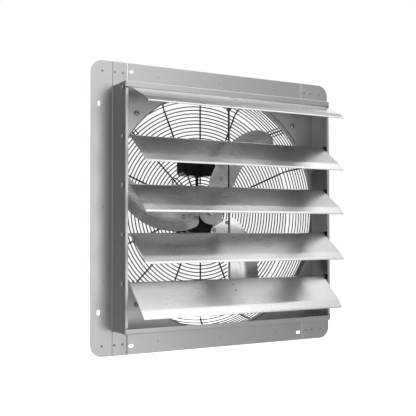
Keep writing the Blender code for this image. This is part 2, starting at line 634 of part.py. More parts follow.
def pin_at(k, turn=0.0):
    a = math.radians(turn)
    y = PIN[0] * math.cos(a) - PIN[1] * math.sin(a)
    z = PIN[0] * math.sin(a) + PIN[1] * math.cos(a)
    return (PIVOT_Y + y, PIVOT_TOP - k * PITCH + z)


def clip(k):
    """Bent clip riveted under the louver: its web reaches back to the tie bar. The
    pin hole is an arc long enough for the louver to run ahead or behind the bar."""
    ratio = (SHUT[k] - CHORD[k]) / (SHUT[2] - CHORD[2])
    turns = sorted(((1 - ratio) * CLOSE, (1 - ratio) * OPEN))
    lo, hi = turns[0] - 0.7, turns[1] + 0.7
    px, pz = pin_at(k)
    base = Vector((PIVOT_Y, PIVOT_TOP - k * PITCH))
    r = math.hypot(*PIN)
    ang = math.atan2(PIN[1], PIN[0])
    w = PIN_R + 0.00045

    def arc(radius, a):
        return (base.x + radius * math.cos(ang + math.radians(a)), base.y + radius * math.sin(ang + math.radians(a)))

    hole = []
    for i in range(5):
        hole.append(arc(r + w, lo + (hi - lo) * i / 4))
    c = arc(r, hi)
    for i in range(1, 4):
        t = ang + math.radians(hi) + math.pi * i / 4
        hole.append((c[0] + w * math.cos(t), c[1] + w * math.sin(t)))
    for i in range(5):
        hole.append(arc(r - w, hi - (hi - lo) * i / 4))
    c = arc(r, lo)
    for i in range(1, 4):
        t = ang + math.radians(lo) + math.pi + math.pi * i / 4
        hole.append((c[0] + w * math.cos(t), c[1] + w * math.sin(t)))
    rim = 0.0052
    spread = math.degrees(rim / r)
    outer = [arc(r + rim * 0.35, lo - spread), arc(r + rim, lo - spread * 0.45)]
    outer += [arc(r + rim, lo + (hi - lo) * i / 3) for i in range(4)]
    outer += [arc(r + rim, hi + spread * 0.45), arc(r + rim * 0.35, hi + spread), arc(r - rim * 0.7, hi + spread * 0.8)]
    outline = [louver_point(k, 0.0085, 0.0024)] + [louver_point(k, 0.0440, 0.0024), louver_point(k, 0.0440, -0.0012), louver_point(k, 0.0290, -0.0040)] + outer
    web = plate(f"louver_clip_{k + 1}", outline, [hole], -0.0038, -0.0026, "yz", "zinc")
    flange = plate(f"clip_flange_{k + 1}", [louver_point(k, a, n) for a, n in ((0.0100, 0.0017), (0.0460, 0.0017), (0.0460, 0.0030), (0.0100, 0.0030))],
                   [], -0.0165, -0.00265, "yz", None)
    boolean(web, flange, "UNION")
    return place(web, (0, PIVOT_Y, PIVOT_TOP - k * PITCH))


def tie_bar():
    x, z0 = pin_at(4)
    _, z1 = pin_at(0)
    bar = plate("tie_bar", rounded(x - 0.0035, z0 - 0.0070, x + 0.0035, z1 + 0.0070, (0.0030,) * 4, 3), [], -0.0010, 0.0010, "yz", "zinc")
    for k in range(5):
        y, z = pin_at(k)
        pin = revolve(f"tie_pin_{k + 1}", [(0, -0.0062), (0.0026, -0.0062), (0.0028, -0.0046), (PIN_R, -0.0046), (PIN_R, 0.0006), (0, 0.0006)], 10, None, axis="x", centre=(0, y, z))
        boolean(bar, pin, "UNION")
    return place(bar, (0, *pin_at(2)))


# ---------------------------------------------------------------- build
def main():
    clear()
    side_rail("left_rail", -1)
    side_rail("right_rail", 1)
    end_rail("top_rail", 1)
    end_rail("bottom_rail", -1)
    venturi_panel()
    guard()
    for k, (a, b) in enumerate(((1, 1), (-1, 1), (-1, -1), (1, -1))):
        guard_bolt(k + 1, a, b)
    motor()
    junction()
    hub()
    for k, angle in enumerate(BLADES):
        blade(k + 1, angle)
    for k in range(5):
        louver(k)
        rod(k)
        clip(k)
        bush(k, -1)
        bush(k, 1)
    tie_bar()


main()
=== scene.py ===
"""Looks of a wall shutter exhaust fan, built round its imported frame.

Metres; +X to the right seen from the louvers, +Y back through the wall, +Z up; the
origin is the centre of the air opening on the back plane of the flange."""
import math

import bmesh
import bpy
from mathutils import Matrix, Vector


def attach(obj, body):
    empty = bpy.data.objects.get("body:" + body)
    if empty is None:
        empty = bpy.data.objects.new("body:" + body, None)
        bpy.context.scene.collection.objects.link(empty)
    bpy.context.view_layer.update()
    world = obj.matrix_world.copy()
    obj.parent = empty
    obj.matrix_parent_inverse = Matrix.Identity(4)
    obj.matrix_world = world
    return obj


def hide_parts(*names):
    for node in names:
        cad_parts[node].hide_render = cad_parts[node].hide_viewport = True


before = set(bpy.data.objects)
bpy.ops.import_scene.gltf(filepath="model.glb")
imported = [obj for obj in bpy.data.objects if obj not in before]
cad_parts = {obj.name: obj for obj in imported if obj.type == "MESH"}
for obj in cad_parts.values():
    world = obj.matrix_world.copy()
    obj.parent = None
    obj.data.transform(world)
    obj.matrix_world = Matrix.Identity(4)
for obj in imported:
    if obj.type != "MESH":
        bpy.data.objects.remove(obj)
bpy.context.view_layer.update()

ROOT = "shutter_frame"

# ---------------------------------------------------------------- sizes
FLANGE, FLANGE_R = 0.350, 0.030
BOX_X, BOX_Z, BOX_Y, T = 0.295, 0.2915, -0.078, 0.0012
LIP_SIDE, LIP_TOP, LIP_BOTTOM = 0.0075, 0.0140, 0.0120
TAB_X = 0.260
SLOT_IN, SLOT_AT, SLOT_W, SLOT_L = 0.0203, 0.246, 0.0080, 0.0135
ORIFICE_R, PANEL, COLLAR, FOOT_AT = 0.304, 0.322, 0.020, 0.231
PIVOT_Y, PIVOT_TOP, PITCH = -0.0645, 0.2780, 0.1138
CHORD = (24.0, 35.2, 34.3, 35.4, 42.0)
LOUVER_X, LOUVER_T, ROD_R = 0.2800, 0.0010, 0.0025
GUARD_Y = 0.1000
BLADES = (60.0, 180.0, 300.0)
BLADE_Y, BLADE_T = 0.0400, 0.0015


# ---------------------------------------------------------------- camera
def make_camera():
    yaw, pitch, roll = math.radians(29.525), math.radians(1.8495), math.radians(-0.0956)
    fwd = Vector((math.sin(yaw) * math.cos(pitch), math.cos(yaw) * math.cos(pitch), math.sin(pitch)))
    right = Vector((math.cos(yaw), -math.sin(yaw), 0))
    up = right.cross(fwd)
    r2 = right * math.cos(roll) + up * math.sin(roll)
    u2 = -right * math.sin(roll) + up * math.cos(roll)
    data = bpy.data.cameras.new("camera")
    data.sensor_width = 36
    data.lens = 752.0434 * 36 / 416
    data.clip_start, data.clip_end = 0.05, 60
    cam = bpy.data.objects.new("camera", data)
    bpy.context.scene.collection.objects.link(cam)
    rot = Matrix((r2, u2, -fwd)).transposed()
    cam.matrix_world = Matrix.Translation((-0.976154, -1.664240, -0.058358)) @ rot.to_4x4()
    bpy.context.scene.camera = cam


make_camera()


# ---------------------------------------------------------------- materials
class Tree:
    """A small helper for building one procedural material."""

    def __init__(self, name):
        self.mat = bpy.data.materials.new(name)
        self.mat.use_nodes = True
        self.nodes = self.mat.node_tree.nodes
        self.links = self.mat.node_tree.links
        self.shader = self.nodes["Principled BSDF"]
        self.coord = self.nodes.new("ShaderNodeTexCoord")
        self.height = None

    def set(self, **values):
        for key, value in values.items():
            self.shader.inputs[key.replace("_", " ")].default_value = value

    def noise(self, scale, stretch=(1, 1, 1), detail=3.0, rough=0.55, turn=(0, 0, 0)):
        mapping = self.nodes.new("ShaderNodeMapping")
        mapping.inputs["Scale"].default_value = [s * scale for s in stretch]
        mapping.inputs["Rotation"].default_value = turn
        self.links.new(self.coord.outputs["Object"], mapping.inputs["Vector"])
        node = self.nodes.new("ShaderNodeTexNoise")
        node.inputs["Scale"].default_value = 1.0
        node.inputs["Detail"].default_value = detail
        node.inputs["Roughness"].default_value = rough
        self.links.new(mapping.outputs["Vector"], node.inputs["Vector"])
        return node.outputs["Fac"]

    def cells(self, scale):
        mapping = self.nodes.new("ShaderNodeMapping")
        mapping.inputs["Scale"].default_value = (scale, scale, scale)
        self.links.new(self.coord.outputs["Object"], mapping.inputs["Vector"])
        node = self.nodes.new("ShaderNodeTexVoronoi")
        node.inputs["Scale"].default_value = 1.0
        self.links.new(mapping.outputs["Vector"], node.inputs["Vector"])
        grey = self.nodes.new("ShaderNodeRGBToBW")
        self.links.new(node.outputs["Color"], grey.inputs[0])
        return grey.outputs[0]

    def spread(self, value, low, high, start=0.3, end=0.7):
        node = self.nodes.new("ShaderNodeMapRange")
        node.inputs["From Min"].default_value = start
        node.inputs["From Max"].default_value = end
        node.inputs["To Min"].default_value = low
        node.inputs["To Max"].default_value = high
        self.links.new(value, node.inputs["Value"])
        return node.outputs["Result"]

    def mix(self, factor, one, two):
        node = self.nodes.new("ShaderNodeMix")
        node.data_type = "RGBA"
        self.links.new(factor, node.inputs["Factor"])
        for socket, value in (("A", one), ("B", two)):
            target = [i for i in node.inputs if i.name == socket and i.type == "RGBA"][0]
            if isinstance(value, tuple):
                target.default_value = (*value, 1.0)
            else:
                self.links.new(value, target)
        return [o for o in node.outputs if o.type == "RGBA"][0]

    def add(self, one, two, how="ADD"):
        node = self.nodes.new("ShaderNodeMath")
        node.operation = how
        for k, value in enumerate((one, two)):
            if isinstance(value, float):
                node.inputs[k].default_value = value
            else:
                self.links.new(value, node.inputs[k])
        return node.outputs[0]

    def bump(self, value, strength, distance):
        node = self.nodes.new("ShaderNodeBump")
        node.inputs["Strength"].default_value = strength
        node.inputs["Distance"].default_value = distance
        self.links.new(value, node.inputs["Height"])
        if self.height is not None:
            self.links.new(self.height, node.inputs["Normal"])
        self.height = node.outputs["Normal"]
        self.links.new(self.height, self.shader.inputs["Normal"])

    def to(self, value, socket):
        self.links.new(value, self.shader.inputs[socket])


def shade(colour, k):
    return tuple(min(1.0, c * k) for c in colour)


def sheet_metal(name, colour, rough, grain, wave=0.05, patches=True):
    """Rolled sheet: fine streaks along the grain axis, cloudy patches, slight waviness."""
    t = Tree(name)
    stretch = {"x": (1, 40, 40), "y": (40, 1, 40), "z": (40, 40, 1)}[grain]
    streak = t.noise(22, stretch, 4.0, 0.6)
    cloud = t.noise(9, (1, 1, 1), 3.0)
    grit = t.noise(620, (1, 1, 1), 2.0)
    base = shade(colour, 0.995)
    if patches:
        base = t.mix(t.spread(streak, 0.0, 1.0), shade(colour, 0.99), shade(colour, 1.008))
        spangle = t.cells(85)
        base = t.mix(t.spread(spangle, 0.0, 0.16, 0.1, 0.9), base, shade(colour, 0.88))
    base = t.mix(t.spread(cloud, 0.0, 0.25), base, shade(colour, 1.05))
    t.to(base, "Base Color")
    t.set(Metallic=1.0)
    t.to(t.add(t.spread(streak, rough - 0.008, rough + 0.008), t.spread(cloud, -0.012, 0.012)), "Roughness")
    if patches:
        t.bump(streak, 0.004, 0.0001)
        t.bump(grit, 0.008, 0.0001)
    if wave:
        t.bump(t.noise(5.0, (1, 1, 1), 1.0, 0.4), wave, 0.0020)
    return t.mat


def brushed_blade(name, colour, rough):
    t = Tree(name)
    streak = t.noise(30, (1, 12, 30), 4.0, 0.6, (0.3, 0, 0.4))
    cloud = t.noise(10, (1, 1, 1), 2.0)
    base = t.mix(t.spread(streak, 0.0, 1.0), shade(colour, 0.985), shade(colour, 1.01))
    base = t.mix(t.spread(cloud, 0.0, 0.25), base, shade(colour, 1.04))
    t.to(base, "Base Color")
    t.set(Metallic=1.0)
    t.to(t.add(t.spread(streak, rough - 0.01, rough + 0.015), t.spread(cloud, -0.012, 0.012)), "Roughness")
    t.bump(streak, 0.005, 0.0001)
    return t.mat


def steel(name, colour, rough, scale=500):
    t = Tree(name)
    grit = t.noise(scale, (1, 1, 1), 3.0)
    cloud = t.noise(60, (1, 1, 1), 2.0)
    base = t.mix(t.spread(grit, 0.0, 1.0), shade(colour, 0.86), shade(colour, 1.08))
    t.to(base, "Base Color")
    t.set(Metallic=1.0)
    t.to(t.spread(cloud, rough - 0.05, rough + 0.06), "Roughness")
    t.bump(grit, 0.03, 0.0001)
    return t.mat


def coat(name, colour, rough, orange=0.12, scale=260, light=1.9, shine=0.5):
    """Black paint or moulded plastic: faint orange peel, dust-light patches."""
    t = Tree(name)
    peel = t.noise(scale, (1, 1, 1), 2.0)
    cloud = t.noise(24, (1, 1, 1), 3.0)
    base = t.mix(t.spread(cloud, 0.0, 1.0), colour, shade(colour, light))
    t.to(base, "Base Color")
    t.set(Metallic=0.0, Specular_IOR_Level=shine)
    t.to(t.add(t.spread(peel, rough - 0.04, rough + 0.04), t.spread(cloud, -0.03, 0.04)), "Roughness")
    t.bump(peel, orange, 0.0004)
    return t.mat


def winding(name):
    t = Tree(name)
    wires = t.noise(900, (1, 0.05, 1), 2.0)
    t.to(t.mix(t.spread(wires, 0.0, 1.0), (0.30, 0.10, 0.04), (0.72, 0.34, 0.16)), "Base Color")
    t.set(Metallic=0.8, Roughness=0.38)
    t.bump(wires, 0.5, 0.0006)
    return t.mat


RAIL_SIDE = sheet_metal("rail_side_sheet", (0.70, 0.71, 0.72), 0.36, "z", 0.04)
RAIL_END = sheet_metal("rail_end_sheet", (0.70, 0.71, 0.72), 0.36, "x", 0.04)
PANEL_MAT = sheet_metal("panel_sheet", (0.66, 0.67, 0.68), 0.36, "z", 0.04)
COLLAR_SHADE_MAT = sheet_metal("collar_painted_shade", (0.36, 0.365, 0.37), 0.48, "y", 0.02)  # painted shade: the panel's sheet made darker and rougher for the shade inside the drawn collar
LOUVER_MAT = sheet_metal("louver_sheet", (0.86, 0.87, 0.87), 0.28, "x", 0.0, False)
BLADE_MAT = brushed_blade("blade_sheet", (0.82, 0.83, 0.83), 0.26)
HUB_MAT = steel("hub_plate", (0.60, 0.61, 0.61), 0.34)
HEAD_MAT = coat("rod_head", (0.80, 0.81, 0.82), 0.42, 0.05, 700, 1.08, 0.8)
ROD_MAT = steel("rod_steel", (0.60, 0.60, 0.61), 0.32)
RIVET_MAT = steel("rivet_steel", (0.50, 0.50, 0.51), 0.36, 900)
# near-black steel: painted shade in the rivet and bolt recesses and as shadow rings under the blade rivets; also the
# hub's set screw
DARK_STEEL_SHADE_MAT = steel("dark_steel_and_painted_shade", (0.10, 0.10, 0.105), 0.45, 900)
BOLT_MAT = steel("bolt_steel", (0.60, 0.60, 0.61), 0.22, 700)
BAR_MAT = steel("tie_bar_zinc", (0.36, 0.365, 0.37), 0.38)
CLIP_MAT = steel("clip_zinc", (0.48, 0.485, 0.49), 0.36)
WIRE_MAT = coat("guard_wire_coat", (0.0035, 0.0035, 0.004), 0.55, 0.05, 260, 1.5, 0.22)
MOTOR_MAT = coat("motor_paint", (0.0060, 0.0060, 0.0068), 0.42, 0.12, 260, 1.9, 0.35)
BOX_MAT = coat("junction_box_paint", (0.0055, 0.0055, 0.0062), 0.40, 0.10, 260, 1.9, 0.35)
NYLON_MAT = coat("bush_nylon", (0.008, 0.008, 0.009), 0.42, 0.05, 600)
RUBBER_MAT = coat("lead_rubber", (0.009, 0.009, 0.010), 0.55, 0.10, 500)
CAN_MAT = coat("capacitor_shell", (0.30, 0.31, 0.32), 0.42, 0.04, 500, 1.1)
COPPER_MAT = winding("stator_winding")
CORE_MAT = steel("rotor_laminations", (0.42, 0.42, 0.43), 0.40)
SHAFT_MAT = steel("shaft_steel", (0.58, 0.58, 0.59), 0.24)


# ---------------------------------------------------------------- shapes
class Shape:
    """Vertices and faces of one piece, with a material number per face."""

    def __init__(self):
        self.v, self.f, self.m = [], [], []

    def add(self, verts, faces, mat=0):
        base = len(self.v)
        self.v += [tuple(p) for p in verts]
        self.f += [tuple(i + base for i in face) for face in faces]
        self.m += [mat] * len(faces)
        return self

    def object(self, name, mats, body, stands_for=(), sharp=32, bevel=None):
        mesh = bpy.data.meshes.new(name)
        mesh.from_pydata(self.v, [], self.f)
        mesh.update()
        for m in mats:
            mesh.materials.append(m)
        mesh.polygons.foreach_set("material_index", self.m)
        bm = bmesh.new()
        bm.from_mesh(mesh)
        bmesh.ops.recalc_face_normals(bm, faces=bm.faces)
        bm.to_mesh(mesh)
        bm.free()
        obj = bpy.data.objects.new(name, mesh)
        bpy.context.scene.collection.objects.link(obj)
        if bevel:
            mod = obj.modifiers.new("edge", "BEVEL")
            mod.width, mod.segments = bevel
            mod.limit_method = "ANGLE"
            mod.angle_limit = math.radians(38)
            mod.harden_normals = False
        mesh.shade_smooth()
        mesh.set_sharp_from_angle(angle=math.radians(sharp))
        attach(obj, body)
        if stands_for:
            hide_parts(*stands_for)
        return obj


def axes_for(direction):
    d = Vector(direction).normalized()
    side = Vector((0, 0, 1)) if abs(d.z) < 0.9 else Vector((1, 0, 0))
    u = d.cross(side).normalized()
    return u, d.cross(u).normalized(), d


def lathe(shape, profile, n, origin, direction, mat=0, start=0.0, closed=False):
    """Turns a (radius, along) profile about a line. Ends at radius 0 close as a fan."""
    u, w, d = axes_for(direction)
    o = Vector(origin)
    verts, rings = [], []
    for r, a in profile:
        if r < 1e-9:
            rings.append([len(verts)])
            verts.append(o + d * a)
        else:
            ring = []
            for i in range(n):
                t = start + 2 * math.pi * i / n
                ring.append(len(verts))
                verts.append(o + d * a + (u * math.cos(t) + w * math.sin(t)) * r)
            rings.append(ring)
    faces = []
    pairs = list(zip(rings, rings[1:]))
    if closed:
        pairs.append((rings[-1], rings[0]))
    for one, two in pairs:
        for i in range(n):
            j = (i + 1) % n
            if len(one) == 1 and len(two) == 1:
                continue
            if len(one) == 1:
                faces.append((one[0], two[j], two[i]))
            elif len(two) == 1:
                faces.append((one[i], one[j], two[0]))
            else:
                faces.append((one[i], one[j], two[j], two[i]))
    return shape.add(verts, faces, mat)


def tube(shape, points, r, m=8, closed=False, mat=0, caps=True):
    """A round wire along points, carried along without twist."""
    pts = [Vector(p) for p in points]
    n = len(pts)
    verts, faces = [], []
    normal = None
    for i, p in enumerate(pts):
        if closed:
            d = (pts[(i + 1) % n] - pts[i - 1]).normalized()
        else:
            d = (pts[min(i + 1, n - 1)] - pts[max(i - 1, 0)]).normalized()
        if normal is None:
            normal = axes_for(d)[0]
        normal = (normal - d * normal.dot(d)).normalized()
        other = d.cross(normal)
        for k in range(m):
            t = 2 * math.pi * k / m
            verts.append(p + (normal * math.cos(t) + other * math.sin(t)) * r)
    for i in range(n if closed else n - 1):
        j = (i + 1) % n
        for k in range(m):
            q = (k + 1) % m
            faces.append((i * m + k, i * m + q, j * m + q, j * m + k))
    if not closed and caps:
        faces.append(tuple(range(m)))
        faces.append(tuple(range((n - 1) * m, n * m)))
    return shape.add(verts, faces, mat)


def ring(shape, radius, y, r, n=150, m=6, mat=0):
    """A wire ring about the fan's axis."""
    verts, faces = [], []
    for i in range(n):
        a = 2 * math.pi * i / n
        for k in range(m):
            t = 2 * math.pi * (k + 0.5) / m
            q = radius + r * math.cos(t)
            verts.append((q * math.cos(a), y + r * math.sin(t), q * math.sin(a)))
    for i in range(n):
        j = (i + 1) % n
        for k in range(m):
            q = (k + 1) % m
            faces.append((i * m + k, i * m + q, j * m + q, j * m + k))
    return shape.add(verts, faces, mat)


def fillet(points, radii, seg=5):
    """Rounds the inner corners of a line of 2-D points."""
    out = [Vector(points[0])]
    for i in range(1, len(points) - 1):
        p, a, b = Vector(points[i]), Vector(points[i - 1]), Vector(points[i + 1])
        d1, d2 = (a - p).normalized(), (b - p).normalized()
        angle = d1.angle(d2)
        r = radii[i - 1] if isinstance(radii, (list, tuple)) else radii
        if r <= 0 or angle > math.radians(178):
            out.append(p)
            continue
        reach = min(r / math.tan(angle / 2), 0.45 * (a - p).length, 0.45 * (b - p).length)
        s, e = p + d1 * reach, p + d2 * reach
        for k in range(seg + 1):
            t = k / seg
            out.append((1 - t) ** 2 * s + 2 * t * (1 - t) * p + t ** 2 * e)
    out.append(Vector(points[-1]))
    return out


def bent(shape, path, t, low, high, along, mat=0, cuts=1, ends=None):
    """Bent sheet: a 2-D path given thickness t and run from low to high along an axis.
    along "x": path is (y, z); "z": path is (x, y). ends trims each end per path point."""
    left, right = [], []
    pts = [Vector(p) for p in path]
    for i, p in enumerate(pts):
        d1 = (p - pts[i - 1]).normalized() if i else (pts[1] - p).normalized()
        d2 = (pts[i + 1] - p).normalized() if i + 1 < len(pts) else d1
        n1, n2 = Vector((-d1.y, d1.x)), Vector((-d2.y, d2.x))
        mid = (n1 + n2).normalized()
        reach = t / 2 / max(0.5, mid.dot(n1))
        left.append(p + mid * reach)
        right.append(p - mid * reach)

    def at(q, s):
        return (s, q.x, q.y) if along == "x" else (q.x, q.y, s)

    n = len(pts)
    verts, faces = [], []
    for c in range(cuts + 1):
        for i in range(n):
            lo, hi = low, high
            if ends:
                lo, hi = low + ends(i)[0], high - ends(i)[1]
            s = lo + (hi - lo) * c / cuts
            verts.append(at(left[i], s))
            verts.append(at(right[i], s))
    row = 2 * n
    for c in range(cuts):
        a, b = c * row, (c + 1) * row
        for i in range(n - 1):
            faces.append((a + 2 * i, a + 2 * i + 2, b + 2 * i + 2, b + 2 * i))
            faces.append((a + 2 * i + 1, b + 2 * i + 1, b + 2 * i + 3, a + 2 * i + 3))
        faces.append((a, b, b + 1, a + 1))
        faces.append((a + row - 2, a + row - 1, b + row - 1, b + row - 2))
    for base in (0, cuts * row):
        for i in range(n - 1):
            faces.append((base + 2 * i, base + 2 * i + 1, base + 2 * i + 3, base + 2 * i + 2))
    return shape.add(verts, faces, mat)


def plate(shape, outline, holes, low, high, plane, mat=0):
    """A flat plate with holes. plane "xz" runs from low to high along Y, "yz" along X."""
    bm = bmesh.new()

    def at(p, d):
        return Vector((p[0], d, p[1])) if plane == "xz" else Vector((d, p[0], p[1]))

    edges = []
    for loop in [outline] + list(holes):
        verts = [bm.verts.new(at(p, low)) for p in loop]
        edges += [bm.edges.new((verts[i], verts[(i + 1) % len(verts)])) for i in range(len(verts))]
    bmesh.ops.triangle_fill(bm, use_beauty=True, use_dissolve=False, edges=edges)
    made = bmesh.ops.extrude_face_region(bm, geom=bm.faces[:])
    moved = [g for g in made["geom"] if isinstance(g, bmesh.types.BMVert)]
    bmesh.ops.translate(bm, verts=moved, vec=at((0, 0), high - low))
    bm.verts.ensure_lookup_table()
    bm.verts.index_update()
    verts = [v.co.copy() for v in bm.verts]
    faces = [[v.index for v in f.verts] for f in bm.faces]
    bm.free()
    return shape.add(verts, faces, mat)


def circle(cx, cz, r, n, start=0.0):
    return [(cx + r * math.cos(start + 2 * math.pi * i / n), cz + r * math.sin(start + 2 * math.pi * i / n)) for i in range(n)]


def slot(cx, cz, length, width, along, n=8):
    half = (length - width) / 2
    pts = []
    for side in (0, 1):
        for i in range(n + 1):
            a = -math.pi / 2 + math.pi * i / n + math.pi * side
            u = (half if side == 0 else -half) + width / 2 * math.cos(a)
            v = width / 2 * math.sin(a)
            pts.append((cx + u, cz + v) if along == "x" else (cx - v, cz + u))
    return pts


def rounded(x0, z0, x1, z1, radii, n=6):
    pts = []
    corners = ((x0, z0, 1, 1, 180), (x1, z0, -1, 1, 270), (x1, z1, -1, -1, 0), (x0, z1, 1, -1, 90))
    for (cx, cz, sx, sz, start), r in zip(corners, radii):
        if r <= 0:
            pts.append((cx, cz))
            continue
        for i in range(n + 1):
            a = math.radians(start + 90 * i / n)
            pts.append((cx + sx * r + r * math.cos(a), cz + sz * r + r * math.sin(a)))
    return pts


def blind_rivet(shape, at, normal, r=0.0030, h=0.0010, mats=(0, 1)):
    """Domed head with the broken pin's recess in its middle."""
    lathe(shape, [(r, -0.0002), (r, h * 0.35), (r * 0.86, h * 0.78), (r * 0.60, h), (r * 0.42, h * 0.98), (r * 0.36, h * 0.60)], 20, at, normal, mats[0])
    # the recess in the middle takes the second material, near-black: painted shade in the hole
    lathe(shape, [(r * 0.36, h * 0.60), (r * 0.30, h * 0.40), (0, h * 0.45)], 20, at, normal, mats[1])


def dome(shape, at, normal, r, h, n=20, mat=0):
    prof = [(r, -0.0002)] + [(r * math.cos(t), h * math.sin(t)) for t in (0.0, 0.35, 0.7, 1.05, 1.35)] + [(0, h)]
    lathe(shape, prof, n, at, normal, mat)


# ---------------------------------------------------------------- frame rails
def side_rail(name, s):
    shape = Shape()
    lo, hi = -FLANGE, FLANGE
    bend = BOX_X + 0.0040
    zb = BOX_Z - 0.0016
    pts = [(bend, -zb), (bend, -BOX_Z), (BOX_X - 0.0011, -BOX_Z - 0.0002), (TAB_X, -BOX_Z - 0.0008), (TAB_X, lo)]
    for i in range(13):
        a = math.radians(-90 + 7.5 * i)
        pts.append((FLANGE - FLANGE_R + FLANGE_R * math.cos(a), lo + FLANGE_R + FLANGE_R * math.sin(a)))
    for i in range(13):
        a = math.radians(7.5 * i)
        pts.append((FLANGE - FLANGE_R + FLANGE_R * math.cos(a), hi - FLANGE_R + FLANGE_R * math.sin(a)))
    pts += [(TAB_X, hi), (TAB_X, BOX_Z + 0.0008), (BOX_X - 0.0011, BOX_Z + 0.0002), (bend, BOX_Z), (bend, zb)]
    holes = [slot(s * (FLANGE - SLOT_IN), z, SLOT_L, SLOT_W, "z") for z in (-SLOT_AT, SLOT_AT)]
    plate(shape, [(s * x, z) for x, z in pts], holes, -T, 0.0, "xz")
    mid = BOX_X - T / 2
    flange_bend = fillet([(s * bend, -T / 2), (s * mid, -T / 2), (s * mid, -0.0060)], 0.0022)
    bent(shape, flange_bend, T, -zb, zb, "z")
    front = BOX_Y + 0.0040
    pivots = [circle(PIVOT_Y, PIVOT_TOP - k * PITCH, 0.0046, 20) for k in range(5)]
    xs = sorted((s * BOX_X, s * (BOX_X - T)))
    plate(shape, [(front, -zb), (-0.0060, -zb), (-0.0060, zb), (front, zb)], pivots, xs[0], xs[1], "yz")
    lip_z = (-BOX_Z + 0.0150, BOX_Z - 0.0170)
    corner = fillet([(s * mid, front), (s * mid, BOX_Y + T / 2), (s * (BOX_X - LIP_SIDE), BOX_Y + T / 2)], 0.0013)
    bent(shape, corner, T, lip_z[0], lip_z[1], "z")
    for a, b in ((-zb, lip_z[0]), (lip_z[1], zb)):
        bent(shape, [(s * mid, front), (s * mid, BOX_Y + 0.0001)], T, a, b, "z")
    return shape.object(name + "_sheet", [RAIL_SIDE], ROOT, [name], 28, (0.00028, 2))


def end_rail(name, s):
    shape = Shape()
    lip_h = LIP_TOP if s > 0 else LIP_BOTTOM
    flat = 0.2545
    bend = BOX_Z + 0.0040
    z0, z1 = sorted((s * bend, s * FLANGE))
    at = (-SLOT_AT,) if s > 0 else (-SLOT_AT, SLOT_AT)
    holes = [slot(x, s * (FLANGE - SLOT_IN), SLOT_L, SLOT_W, "x") for x in at]
    plate(shape, [(-flat, z0), (flat, z0), (flat, z1), (-flat, z1)], holes, -T, 0.0, "xz")
    for e in (-1, 1):
        path = fillet([(e * flat, -T / 2), (e * 0.2562, -T / 2), (e * 0.2590, -1.5 * T - 0.0003), (e * BOX_X, -1.5 * T - 0.0003)], 0.0010, 4)
        zs = sorted((s * (BOX_Z + 0.0006), s * (FLANGE - 0.0002)))
        bent(shape, path, T, zs[0], zs[1], "z")
    mid = BOX_Z - T / 2
    inner = BOX_X - T - 0.0005
    path = fillet([(-T / 2, s * bend), (-T / 2, s * mid), (-0.0060, s * mid)], 0.0022)
    bent(shape, path, T, -flat, flat, "x")
    bent(shape, [(-0.0018, s * mid), (-0.0060, s * mid)], T, -inner, -flat, "x")
    bent(shape, [(-0.0018, s * mid), (-0.0060, s * mid)], T, flat, inner, "x")
    path = fillet([(-0.0060, s * mid), (BOX_Y + T / 2, s * mid), (BOX_Y + T / 2, s * (BOX_Z - lip_h))], 0.0013)
    bent(shape, path, T, -inner, inner, "x", cuts=8)
    return shape.object(name + "_sheet", [RAIL_END], ROOT, [name], 28, (0.00028, 2))


def frame_fixings():
    """Rivets at the four corners, dimpled screws along the flange."""
    shape = Shape()
    for sx in (-1, 1):
        for sz in (-1, 1):
            blind_rivet(shape, (sx * 0.3210, -T, sz * 0.3245), (0, -1, 0))
            for x in (0.2900, 0.2693):
                blind_rivet(shape, (sx * x, -2 * T - 0.0003, sz * 0.3243), (0, -1, 0))
    shape.object("corner_rivets", [RIVET_MAT, DARK_STEEL_SHADE_MAT], ROOT, (), 40)
    shape = Shape()
    spots = [(sx * 0.3193, z) for sx in (-1, 1) for z in (-0.1740, 0.0, 0.1740)]
    spots += [(x, sz * 0.3235) for sz in (-1, 1) for x in (-0.1740, 0.0, 0.1740)]
    for x, z in spots:
        blind_rivet(shape, (x, -T, z), (0, -1, 0), 0.0025, 0.0007)
    shape.object("flange_rivets", [RAIL_SIDE, DARK_STEEL_SHADE_MAT], ROOT, (), 40)


side_rail("left_rail", -1)
side_rail("right_rail", 1)
end_rail("top_rail", 1)
end_rail("bottom_rail", -1)
frame_fixings()


# ---------------------------------------------------------------- orifice panel
def orifice_panel():
    shape = Shape()
    n = 144
    roll = 0.0035
    holes = [circle(0, 0, ORIFICE_R + roll, n)]
    holes += [circle(a * FOOT_AT, b * FOOT_AT, 0.0036, 16) for a in (-1, 1) for b in (-1, 1)]
    plate(shape, rounded(-PANEL, -PANEL, PANEL, PANEL, (0.012,) * 4, 5), holes, 0.0003, 0.0003 + T, "xz")
    inner, outer = [], []
    for i in range(9):
        a = math.radians(90 * i / 8)
        inner.append((ORIFICE_R + roll - (roll - 0.0) * math.sin(a), 0.0003 + roll * (1 - math.cos(a))))
        outer.append((ORIFICE_R + roll - (roll - T) * math.sin(a), 0.0003 + T + (roll - T) * (1 - math.cos(a))))
    prof = inner + [(ORIFICE_R, COLLAR - 0.0004), (ORIFICE_R + 0.0004, COLLAR), (ORIFICE_R + T - 0.0004, COLLAR), (ORIFICE_R + T, COLLAR - 0.0004)] + outer[::-1]
    # the rolled edge and the collar take the darker sheet: painted shade inside the collar
    lathe(shape, prof, n, (0, 0, 0), (0, 1, 0), 1, closed=True)
    return shape.object("orifice_panel", [PANEL_MAT, COLLAR_SHADE_MAT], ROOT, ["venturi_panel"], 28)


orifice_panel()


